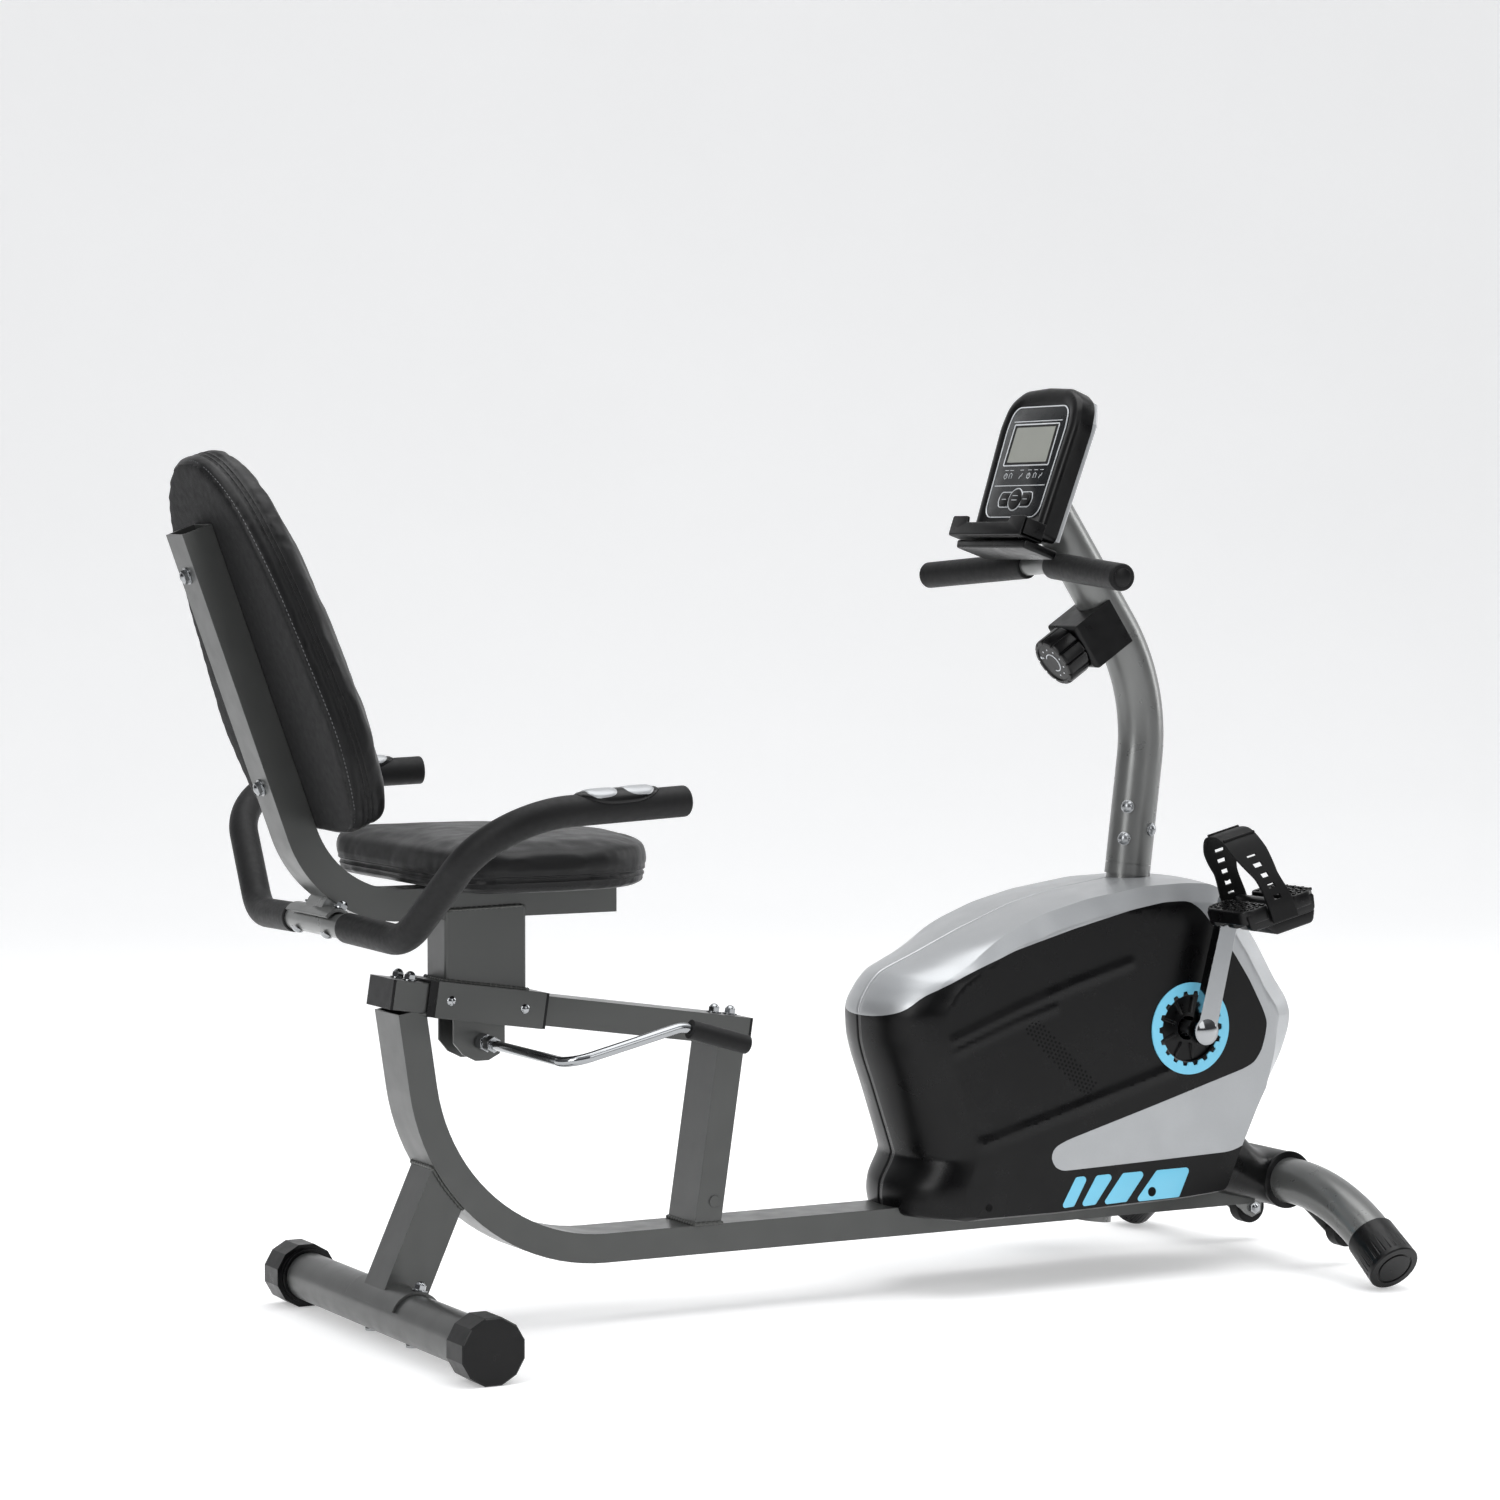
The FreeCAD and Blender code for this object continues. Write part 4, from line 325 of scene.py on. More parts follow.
def chaikin(pts, times, closed=True):
    for _ in range(times):
        out = []
        n = len(pts)
        for i in range(n if closed else n - 1):
            a, b = pts[i], pts[(i + 1) % n]
            out.append(tuple(a[k] * 0.75 + b[k] * 0.25 for k in range(len(a))))
            out.append(tuple(a[k] * 0.25 + b[k] * 0.75 for k in range(len(a))))
        if not closed:
            out = [pts[0]] + out + [pts[-1]]
        pts = out
    return pts


def resample(pts, n, closed=True):
    P = np.array(pts, float)
    if closed:
        P = np.vstack([P, P[:1]])
    d = np.r_[0, np.cumsum(np.linalg.norm(np.diff(P, axis=0), axis=1))]
    s = np.linspace(0, d[-1], n + 1)[:-1] if closed else np.linspace(0, d[-1], n)
    return np.stack([np.interp(s, d, P[:, k]) for k in range(P.shape[1])], 1)


def normals2d(P):
    """Outward normals of a closed 2-D line of points."""
    t = np.roll(P, -1, 0) - np.roll(P, 1, 0)
    t /= np.linalg.norm(t, axis=1)[:, None] + 1e-12
    n = np.stack([t[:, 1], -t[:, 0]], 1)
    x, y = P[:, 0], P[:, 1]
    area = 0.5 * np.sum(x * np.roll(y, -1) - np.roll(x, -1) * y)
    return n if area > 0 else -n


def plate_geo(outline, fn, n0, n1, bevel=0.0, steps=3, back_bevel=0.0):
    """Closed solid from a dense outline (mm); fn(a, b, n) gives the point. Front edge rounded."""
    P = np.array(outline, float)
    nn = normals2d(P)
    rings = []
    if back_bevel:
        for k in range(steps + 1):
            a = PI / 2 * k / steps
            rings.append((P - nn * back_bevel * (1 - math.sin(a)), n0 + back_bevel * (1 - math.cos(a))))
    else:
        rings.append((P, n0))
    if bevel:
        for k in range(steps + 1):
            a = PI / 2 * k / steps
            rings.append((P - nn * bevel * (1 - math.cos(a)), n1 - bevel * (1 - math.sin(a))))
    else:
        rings.append((P, n1))
    m = len(P)
    verts, faces = [], []
    for R, n in rings:
        for a, b in R:
            verts.append(fn(a, b, n))
    for i in range(len(rings) - 1):
        for k in range(m):
            k2 = (k + 1) % m
            faces.append((i * m + k, i * m + k2, (i + 1) * m + k2, (i + 1) * m + k))
    faces.append(tuple(range(m - 1, -1, -1)))
    faces.append(tuple((len(rings) - 1) * m + k for k in range(m)))
    return verts, faces


def round_poly(pts, radii, seg=7):
    out = []
    n = len(pts)
    for i in range(n):
        p = Vector(pts[i]).to_2d()
        a = (Vector(pts[i - 1]).to_2d() - p)
        b = (Vector(pts[(i + 1) % n]).to_2d() - p)
        r = radii[i] if isinstance(radii, (list, tuple)) else radii
        if r <= 0:
            out.append(tuple(p))
            continue
        la, lb = a.length, b.length
        a.normalize()
        b.normalize()
        half = a.angle(b) / 2.0
        t = min(r / math.tan(half), la * 0.49, lb * 0.49)
        r = t * math.tan(half)
        c = p + (a + b).normalized() * (r / math.sin(half))
        p1, p2 = p + a * t, p + b * t
        a1 = math.atan2(p1.y - c.y, p1.x - c.x)
        a2 = math.atan2(p2.y - c.y, p2.x - c.x)
        d = a2 - a1
        while d > PI:
            d -= 2 * PI
        while d < -PI:
            d += 2 * PI
        for k in range(seg + 1):
            aa = a1 + d * k / seg
            out.append((c.x + r * math.cos(aa), c.y + r * math.sin(aa)))
    return out


class Bag:
    """Gathers several small closed forms into one mesh."""

    def __init__(self):
        self.v, self.f = [], []

    def add(self, geo):
        n = len(self.v)
        self.v += list(geo[0])
        self.f += [tuple(i + n for i in f) for f in geo[1]]

    def make(self, name, mat, body, auto=40, smooth=True):
        return new_mesh(name, self.v, self.f, mat, body, auto=auto, smooth=smooth)


def disc_geo(c, ax, r, h, seg=20, bevel=0.0):
    """Low round form with a softened rim; c in metres, r and h in metres."""
    ax = ax.normalized()
    ref = Vector((0, 0, 1)) if abs(ax.z) < 0.9 else Vector((1, 0, 0))
    u = ax.cross(ref).normalized()
    v = ax.cross(u)
    rings = [(r, 0.0), (r, h - bevel)]
    if bevel:
        rings += [(r - bevel * 0.3, h - bevel * 0.3), (r - bevel, h)]
    verts, faces = [], []
    for rr, hh in rings:
        for k in range(seg):
            a = 2 * PI * k / seg
            verts.append(c + ax * hh + (u * math.cos(a) + v * math.sin(a)) * rr)
    for i in range(len(rings) - 1):
        for k in range(seg):
            k2 = (k + 1) % seg
            faces.append((i * seg + k, i * seg + k2, (i + 1) * seg + k2, (i + 1) * seg + k))
    faces.append(tuple(range(seg - 1, -1, -1)))
    faces.append(tuple((len(rings) - 1) * seg + k for k in range(seg)))
    return verts, faces


# ------------------------------------------------------------------ cushions
def blow_up(o, pinned, pressure, cap, frames=20):
    """Cloth under pressure: the panels swell between the pinned seams."""
    start = [v.co.copy() for v in o.data.vertices]
    g = o.vertex_groups.new(name="pin")
    ids = [i for i, c in enumerate(start) if pinned(c)]
    g.add(ids, 1.0, "REPLACE")
    m = o.modifiers.new("cloth", "CLOTH")
    s = m.settings
    s.quality = 6
    s.mass = 0.35
    s.tension_stiffness = 18
    s.compression_stiffness = 18
    s.shear_stiffness = 8
    s.bending_stiffness = 1.2
    s.use_pressure = True
    s.uniform_pressure_force = pressure
    s.effector_weights.gravity = 0
    s.vertex_group_mass = "pin"
    m.collision_settings.use_collision = False
    m.collision_settings.use_self_collision = False
    m.point_cache.frame_start = 1
    m.point_cache.frame_end = frames
    sc = bpy.context.scene
    for f in range(1, frames + 1):
        sc.frame_set(f)
    dg = bpy.context.evaluated_depsgraph_get()
    ev = o.evaluated_get(dg)
    co = np.zeros(len(start) * 3, np.float32)
    ev.data.vertices.foreach_get("co", co)
    co = co.reshape(-1, 3)
    o.modifiers.remove(m)
    sc.frame_set(1)
    for i, v in enumerate(o.data.vertices):
        d = Vector(co[i]) - start[i]
        if d.length > cap:
            d *= cap / d.length
        v.co = start[i] + d


def remesh(o, size):
    m = o.modifiers.new("rm", "REMESH")
    m.mode = "VOXEL"
    m.voxel_size = size
    m.adaptivity = 0.0
    dg = bpy.context.evaluated_depsgraph_get()
    me = bpy.data.meshes.new_from_object(o.evaluated_get(dg))
    old = o.data
    mats = [x for x in old.materials]
    o.modifiers.remove(m)
    o.data = me
    me.materials.clear()
    for x in mats:
        me.materials.append(x)


def relax(o, times, factor=0.5):
    bm = bmesh.new()
    bm.from_mesh(o.data)
    for _ in range(times):
        bmesh.ops.smooth_vert(bm, verts=bm.verts, factor=factor, use_axis_x=True, use_axis_y=True, use_axis_z=True)
    bm.to_mesh(o.data)
    bm.free()


def finer(o, levels=1):
    m = o.modifiers.new("sub", "SUBSURF")
    m.levels = levels
    m.render_levels = levels
    dg = bpy.context.evaluated_depsgraph_get()
    me = bpy.data.meshes.new_from_object(o.evaluated_get(dg))
    mats = [x for x in o.data.materials]
    o.modifiers.remove(m)
    o.data = me
    me.materials.clear()
    for x in mats:
        me.materials.append(x)


def smooth_all(o):
    for p in o.data.polygons:
        p.use_smooth = True


def catmull_closed(P, per=14):
    P = np.array(P, float)
    n = len(P)
    out = []
    for i in range(n):
        p0, p1, p2, p3 = P[i - 1], P[i], P[(i + 1) % n], P[(i + 2) % n]
        for k in range(per):
            t = k / per
            out.append(0.5 * ((2 * p1) + (-p0 + p2) * t + (2 * p0 - 5 * p1 + 4 * p2 - p3) * t * t + (-p0 + 3 * p1 - 3 * p2 + p3) * t ** 3))
    return np.array(out)


def pad_object(name, outline, profile, fn, centre):
    """Stack of shrinking outlines; profile is (inset fraction of the half size in mm, height)."""
    O = resample(catmull_closed(outline), 200)
    nn = normals2d(O)
    cx, cy = centre
    verts, faces = [], []
    m = len(O)
    for inset, h_ in profile:
        if inset <= 30:
            R = O - nn * inset
        else:
            base = O - nn * 30
            k = (inset - 30) / 100.0
            R = base + (np.array([cx, cy]) - base) * k
        for a, b in R:
            verts.append(fn(a, b, h_))
    r = len(profile)
    for i in range(r - 1):
        for k in range(m):
            k2 = (k + 1) % m
            faces.append((i * m + k, i * m + k2, (i + 1) * m + k2, (i + 1) * m + k))
    c0 = len(verts)
    verts.append(fn(cx, cy, profile[0][1]))
    c1 = len(verts)
    verts.append(fn(cx, cy, profile[-1][1]))
    for k in range(m):
        k2 = (k + 1) % m
        faces.append((c0, k2, k))
        faces.append((c1, (r - 1) * m + k, (r - 1) * m + k2))
    o = new_mesh(name, verts, faces, M["vinyl"])
    return o, O, nn


def groove(o, level, lines, inward, wrinkle):
    """Sinks sewn lines into the side wall. level(co) gives mm up the wall; lines are (level, depth mm, width mm)."""
    me = o.data
    nrm = [v.normal.copy() for v in me.vertices]
    for i, v in enumerate(me.vertices):
        z = level(v.co)
        w = inward(v.co)
        d = 0.0
        if w > 0:
            for z0, dep, wid in lines:
                d += dep * math.exp(-((z - z0) / wid) ** 2)
            d *= w
        q = noise.noise(v.co * 38.0) * 0.6 + noise.noise(v.co * 95.0) * 0.3
        v.co -= nrm[i] * (d / 1000.0 + q * wrinkle(v.co) / 1000.0)


def ring_on(o, outline2d, fn, level, out_mm, inset=-30.0):
    """Closed line of points lying on the pad's wall at a given level."""
    bvh = BVHTree.FromObject(o, bpy.context.evaluated_depsgraph_get())
    pts = []
    nn = normals2d(outline2d)
    for (a, b), (na, nb) in zip(outline2d, nn):
        p = fn(a + na * 25, b + nb * 25, level)
        q = fn(a - na * 10, b - nb * 10, level)
        d = (q - p).normalized()
        hit = bvh.ray_cast(p, d, 0.06)
        if hit[0] is None:
            continue
        pts.append(hit[0] - d * (out_mm / 1000.0))
    return pts


def smooth_ring(pts, times=4):
    P = np.array([tuple(p) for p in pts])
    for _ in range(times):
        P = 0.5 * P + 0.25 * (np.roll(P, 1, 0) + np.roll(P, -1, 0))
    return [Vector(p) for p in P]


def stitches(pts, gap, length, r, mat, name, body):
    bag = Bag()
    P = np.array([tuple(p) for p in pts] + [tuple(pts[0])])
    d = np.r_[0, np.cumsum(np.linalg.norm(np.diff(P, axis=0), axis=1))]
    s = 0.0
    while s + length < d[-1]:
        q = [Vector([np.interp(x, d, P[:, k]) for k in range(3)]) for x in (s, s + length * 0.5, s + length)]
        bag.add(sweep_geo(q, [r * 0.6, r, r * 0.6], 6))
        s += gap
    return bag.make(name, mat, body)


# seat pad ---------------------------------------------------------
SEAT_Z, SEAT_R, SEAT_F, SEAT_H = 459.0, 5.0, 262.0, 185.0
half = [(SEAT_R, 0), (SEAT_R, SEAT_H * 0.62), (SEAT_R + 6, SEAT_H * 0.85), (SEAT_R + 22, SEAT_H * 0.975), (SEAT_R + 52, SEAT_H),
        (SEAT_R + 120, SEAT_H), (SEAT_R + 165, SEAT_H * 0.955), (SEAT_R + 200, SEAT_H * 0.84), (SEAT_R + 226, SEAT_H * 0.64),
        (SEAT_R + 245, SEAT_H * 0.38), (SEAT_F, 0)]
seat_outline = half + [(x, -y) for x, y in reversed(half[1:-1])]
prof = [(14, 0), (7, 1.0), (3.5, 4), (3.0, 9), (4.2, 12.5), (4.2, 14.5), (1.0, 18), (0.2, 22), (0.0, 27), (0.0, 33), (0.4, 36.5), (2.0, 39.8), (5.5, 42.2), (11, 43.8), (18, 45.0),
        (28, 46.2), (45, 47.7), (65, 49.0), (85, 49.9), (105, 50.3), (118, 50.4)]
seat_fn = lambda a, b, n: V(a, b, SEAT_Z + n)
seat, SO, SN = pad_object("seat_pad", seat_outline, prof, seat_fn, (128, 0))
remesh(seat, 0.0045)
relax(seat, 2)
blow_up(seat, lambda c: c.z * 1000 - SEAT_Z < 1.2 or abs(c.z * 1000 - SEAT_Z - 13.5) < 2.0, 3.0, 0.0022)
relax(seat, 2)
finer(seat)


def seat_side(co):
    """1 on the side wall, 0 on top and bottom."""
    z = co.z * 1000 - SEAT_Z
    return max(0.0, min(1.0, (z - 2) / 3.0)) * max(0.0, min(1.0, (34 - z) / 4.0))


groove(seat, lambda co: co.z * 1000 - SEAT_Z, [(13.5, 2.4, 1.9), (8.0, 0.9, 1.5), (19.5, 0.7, 1.5)], seat_side,
       lambda co: 0.55 * seat_side(co) + 0.10)
smooth_all(seat)
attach(seat, "seat")
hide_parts("seat_cushion")
ringp = smooth_ring(ring_on(seat, SO, seat_fn, 10.6, -0.1))
v, f = sweep_geo(ringp, 0.0009, 8, closed=True)
new_mesh("seat_piping", v, f, M["vinyl"], "seat")
ring2 = smooth_ring(ring_on(seat, SO, seat_fn, 16.4, -0.1))
v, f = sweep_geo(ring2, 0.0009, 8, closed=True)
new_mesh("seat_piping_upper", v, f, M["vinyl"], "seat")
stitches(smooth_ring(ring_on(seat, SO, seat_fn, 5.6, 0.15)), 0.0045, 0.0028, 0.0003, M["thread_dark"], "seat_stitches", "seat")

# back pad ---------------------------------------------------------
BA = math.radians(19.8)
BU = Vector((-math.sin(BA), 0, math.cos(BA)))
BN = Vector((math.cos(BA), 0, math.sin(BA)))
B0 = Vector((-71.7, 0, 438.5))
N0 = 16.4


def back_fn(a, b, n):
    p = B0 + BU * a + Vector((0, b, 0)) + BN * (N0 + n)
    return V(*p)


BACK_W = [(0, 0), (0, 85), (12, 115), (39, 133), (83, 145), (111, 147), (143, 144), (185, 137), (241, 127),
          (295, 110), (335, 90), (360, 68), (376, 45), (385, 20), (387, 0)]
bo_ = [(u + 74, y) for u, y in BACK_W]
back_outline = bo_ + [(u, -y) for u, y in reversed(bo_[1:-1])]
prof = [(6, 0), (2.0, 0.6), (0.6, 3), (0.4, 8), (0.3, 14), (0.6, 20), (0.3, 26), (0.2, 32), (1.2, 37), (4, 41.5), (9, 44.5), (18, 47), (30, 49),
        (50, 50.5), (75, 51.4), (100, 51.8), (118, 52)]
back, BO, BNN = pad_object("back_pad", back_outline, prof, back_fn, (74 + 175, 0))
remesh(back, 0.0045)
relax(back, 2)


def back_level(co):
    p = Vector((co.x * 1000 + XS, co.y * 1000, co.z * 1000)) - B0
    return p.dot(BN) - N0


blow_up(back, lambda c: back_level(c) < 1.5 or abs(back_level(c) - 20) < 2.0, 3.5, 0.004)
relax(back, 2)
finer(back)


def back_side(co):
    z = back_level(co)
    return max(0.0, min(1.0, (z - 2) / 3.0)) * max(0.0, min(1.0, (40 - z) / 4.0))


groove(back, back_level, [(3.4, 0.9, 1.2), (15.5, 1.5, 1.6), (20.5, 1.7, 1.6), (25.5, 1.5, 1.6)], back_side,
       lambda co: 0.7 * back_side(co) + 0.20)
smooth_all(back)
# the flat rear panel takes the duller cloth
back.data.materials.append(M["vinyl_back"])
for p in back.data.polygons:
    if back_level(p.center) < 1.6:
        p.material_index = 1
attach(back, "seat")
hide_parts("back_cushion")
stitches(smooth_ring(ring_on(back, BO, back_fn, 4.6, 0.2)), 0.0046, 0.0028, 0.00035, M["thread"], "back_stitches", "seat")
for lv in (18.0, 23.0):
    rp_ = smooth_ring(ring_on(back, BO, back_fn, lv, -0.1))
    v, f = sweep_geo(rp_, 0.0008, 8, closed=True)
    new_mesh("back_piping_%d" % lv, v, f, M["vinyl"], "seat")

# ------------------------------------------------------------------ foam sleeves and lever grip
HP = [(174.6, -309, 552.9), (-32.5, -331.7, 544.7), (-61.2, -186.1, 419.1), (-73.6, 0, 425)]
for side, nm in ((-1, "right"), (1, "left")):
    q = [Vector((x, abs(y) * side, z)) for x, y, z in HP]
    d = (q[2] - q[3]).normalized()
    path = rounded([q[3] + d * 66, q[2], q[1], q[0]], [70, 88], 4.0)
    g = soft_tube("foam_grip_" + nm, [tuple(p) for p in path], 15.0, M["foam_rubber"], "seat", 1.6, 2.6, 40)
    if side < 0:
        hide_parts("handle_foam_grips")
    # plastic sensor base and two plates
    e = (q[0] - q[1]).normalized()
    up = (Vector((0, 0, 1)) - e * e.z).normalized()
    lat = e.cross(up)
    p0 = q[0] - e * 122

    def sens(a, b, n, p0=p0, e=e, up=up, lat=lat):
        """a along the grip, b round it (mm of arc), n out of the foam."""
        R = 15.2 + n
        th = b / 15.0
        p = p0 + e * a + up * (R * math.cos(th)) + lat * (R * math.sin(th))
        return V(*p)

    def saddle(a0, a1, wide, n0, n1, rnd, bag):
        """Curved plate that wraps over the top of the grip, thin at the rim and higher in the middle."""
        na, nb = 26, 18
        vs = {}
        idx = 0
        verts, faces = [], []
        for layer in (0, 1):
            for i in range(na + 1):
                for j in range(nb + 1):
                    s = i / na * 2 - 1
                    t = j / nb * 2 - 1
                    w = wide * (1 - abs(s) ** 3.2 * rnd)
                    a = (a0 + a1) / 2 + s * (a1 - a0) / 2
                    lift = n0 if layer == 0 else n0 + 0.3 + (n1 - n0) * (1 - abs(s) ** 4) ** 0.5 * (1 - abs(t) ** 6) ** 0.5
                    verts.append(sens(a, t * w, lift))
        W = nb + 1
        T = (na + 1) * W
        for i in range(na):
            for j in range(nb):
                c = i * W + j
                faces.append((c, c + 1, c + W + 1, c + W))
                faces.append((T + c, T + c + W, T + c + W + 1, T + c + 1))
        for i in range(na):
            for j in (0, nb):
                c = i * W + j
                faces.append((c, c + W, T + c + W, T + c) if j == 0 else (c, T + c, T + c + W, c + W))
        for j in range(nb):
            for i in (0, na):
                c = i * W + j
                faces.append((c, T + c, T + c + 1, c + 1) if i == 0 else (c, c + 1, T + c + 1, T + c))
        bag.add((verts, faces))

    bag = Bag()
    saddle(0, 90, 19.5, -0.3, 3.0, 0.75, bag)
    ob = bag.make("pulse_base_" + nm, M["black_plastic"], "seat", auto=60)
    if side < 0:
        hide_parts("pulse_sensors")
    bag = Bag()
    saddle(8, 42, 14.5, 1.8, 3.9, 0.5, bag)
    saddle(48, 82, 14.5, 1.8, 3.9, 0.5, bag)
    bag.make("pulse_plates_" + nm, M["silver_plastic"], "seat", auto=60)

# ------------------------------------------------------------------ console handlebar sleeves
bar_pts = [(744, 190.6, 762), (771, 0, 775)]
for side, nm in ((-1, "right"), (1, "left")):
    a = Vector((771, 0, 775))
    b = Vector((744, side * 191.6, 762))
    d = (b - a).normalized()
    path = rounded([a + d * 27, b + d * 4.0], [], 4.0)
    g = soft_tube("bar_sleeve_" + nm, [tuple(p) for p in path], 14.5, M["foam_rubber"], "frame", 1.4, 2.4, 36)
    if side < 0:
        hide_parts("handlebar_foam_grips")
    bag = Bag()
    bag.add(disc_geo(V(*(b + d * 3.9)), d, 0.0098, 0.0012, 28, 0.0008))
    bag.make("bar_end_plug_" + nm, M["black_plastic"], "frame")

# ------------------------------------------------------------------ drive cover
TOP = [(541.5, 305), (545, 315), (555, 331), (567, 343), (585, 351), (604, 358.5), (666, 385.5), (729, 409.5), (780, 422),
       (854, 432.5), (905, 434), (938, 432), (954, 424), (970, 405), (998, 366), (1040, 296), (1044.5, 281), (1042, 264), (1032, 238), (1000, 182),
       (974, 128), (958, 90), (900, 86), (740, 82), (600, 82), (571, 86), (567, 104), (569, 121), (584, 147), (580, 160), (558, 225),
       (548, 252), (542.5, 272), (541, 295)]
HALF = 85.0


def soften(pts, sub=3):
    """Rounds the corners but keeps the long runs."""
    out = []
    n = len(pts)
    for i in range(n):
        a, b, c = Vector(pts[i - 1]), Vector(pts[i]), Vector(pts[(i + 1) % n])
        ta = min((a - b).length * 0.35, 9.0)
        tc_ = min((c - b).length * 0.35, 9.0)
        p1 = b + (a - b).normalized() * ta
        p2 = b + (c - b).normalized() * tc_
        for k in range(sub + 1):
            t = k / sub
            q = p1 * (1 - t) ** 2 + b * 2 * t * (1 - t) + p2 * t * t
            out.append((q.x, q.y))
    return out


OUT = resample(soften(TOP), 460)
OUT_N = normals2d(OUT)


def ring_at(y):
    k = min(1.0, y / HALF)
    back_ = 66.0 * (1 - math.sqrt(max(0.0, 1 - (k * 0.985) ** 2)))
    t = max(0.0, y - 77.0) / (HALF - 77.0)
    P = OUT.copy()
    w = np.clip((700.0 - P[:, 0]) / 140.0, 0, 1)
    P[:, 0] += back_ * w * w * (3 - 2 * w)
    P[:, 1] -= np.where(OUT[:, 1] > 300, 5.0 * k * k, 0) * np.clip((OUT[:, 1] - 300) / 25.0, 0, 1)
    wide = np.clip((OUT[:, 0] - 590.0) / 120.0, 0, 1) * np.clip((OUT[:, 1] - 200.0) / 60.0, 0, 1)
    depth = t * (3.0 + 17.0 * wide)
    return P - OUT_N * depth[:, None]


# edge of the black side panel, in (x, z)
PANEL = [(500, 296), (541, 298), (560, 306), (580, 323), (627.2, 344.6), (683.9, 367.3), (757.8, 387.3), (831.6, 404.5), (872.9, 410.9),
         (904.0, 411.2), (919.8, 401.9), (936.9, 382.7), (962.2, 354.3), (984.9, 321.4), (1003.1, 288.3), (1008.6, 274.1), (1006.6, 260.2), (1001.5, 243.5),
         (992.2, 230.9), (979.0, 224.7), (919.7, 208.1), (854.7, 189.9), (790.6, 172.5), (751.3, 161.8), (737.4, 156.3), (731.1, 150.3), (729.9, 141.8),
         (735.0, 132.9), (743.8, 128.8), (755.2, 128.8), (855.1, 131.4), (959.7, 134.5), (978, 140), (1010, 165), (1100, 165), (1100, 40), (480, 40)]


def panel_poly():
    pts = soften(PANEL, 4)
    return np.array(pts)


PP = panel_poly()


def signed(xz):
    """Signed distance (mm) to the panel edge, positive inside the black area."""
    A = PP
    B = np.roll(PP, -1, 0)
    d = B - A
    L2 = (d ** 2).sum(1) + 1e-12
    out = np.empty(len(xz))
    for i0 in range(0, len(xz), 4000):
        q = xz[i0:i0 + 4000]
        rel = q[:, None, :] - A[None]
        t = np.clip((rel * d[None]).sum(2) / L2[None], 0, 1)
        dist = np.sqrt(((rel - t[..., None] * d[None]) ** 2).sum(2)).min(1)
        x, z = q[:, 0][:, None], q[:, 1][:, None]
        cond = (A[None, :, 1] > z) != (B[None, :, 1] > z)
        xi = A[None, :, 0] + (z - A[None, :, 1]) * d[None, :, 0] / np.where(np.abs(d[None, :, 1]) < 1e-9, 1e-9, d[None, :, 1])
        inside = (np.where(cond & (x < xi), 1, 0).sum(1) % 2) == 1
        out[i0:i0 + 4000] = np.where(inside, dist, -dist)
    return out


def seg_dist(x, z, poly):
    best = 1e9
    for (x0, z0), (x1, z1) in zip(poly[:-1], poly[1:]):
        dx, dz = x1 - x0, z1 - z0
        t = max(0.0, min(1.0, ((x - x0) * dx + (z - z0) * dz) / (dx * dx + dz * dz)))
        best = min(best, math.hypot(x - x0 - t * dx, z - z0 - t * dz))
    return best


LINE1 = [(588, 268), (687, 304.5), (760, 328), (829, 347)]
LINE2 = [(592, 256.5), (687, 290.5), (734, 304)]
LINE3 = [(592, 161), (650, 165), (758, 194), (883, 229)]
CR = (906.7, 272.5)


def relief(x, z):
    """Height of the moulded lines on the side panel, mm outwards."""
    h_ = 0.0
    h_ += 1.5 * math.exp(-(seg_dist(x, z, LINE1) / 4.0) ** 2)
    h_ += 1.2 * math.exp(-(seg_dist(x, z, LINE2) / 3.5) ** 2)
    h_ += 1.8 * math.exp(-(seg_dist(x, z, LINE3) / 4.5) ** 2)
    d = math.hypot((x - 618) / 1.0, (z - 134) / 1.4)
    h_ -= 5.0 * math.exp(-(d / 8.0) ** 2)
    return h_


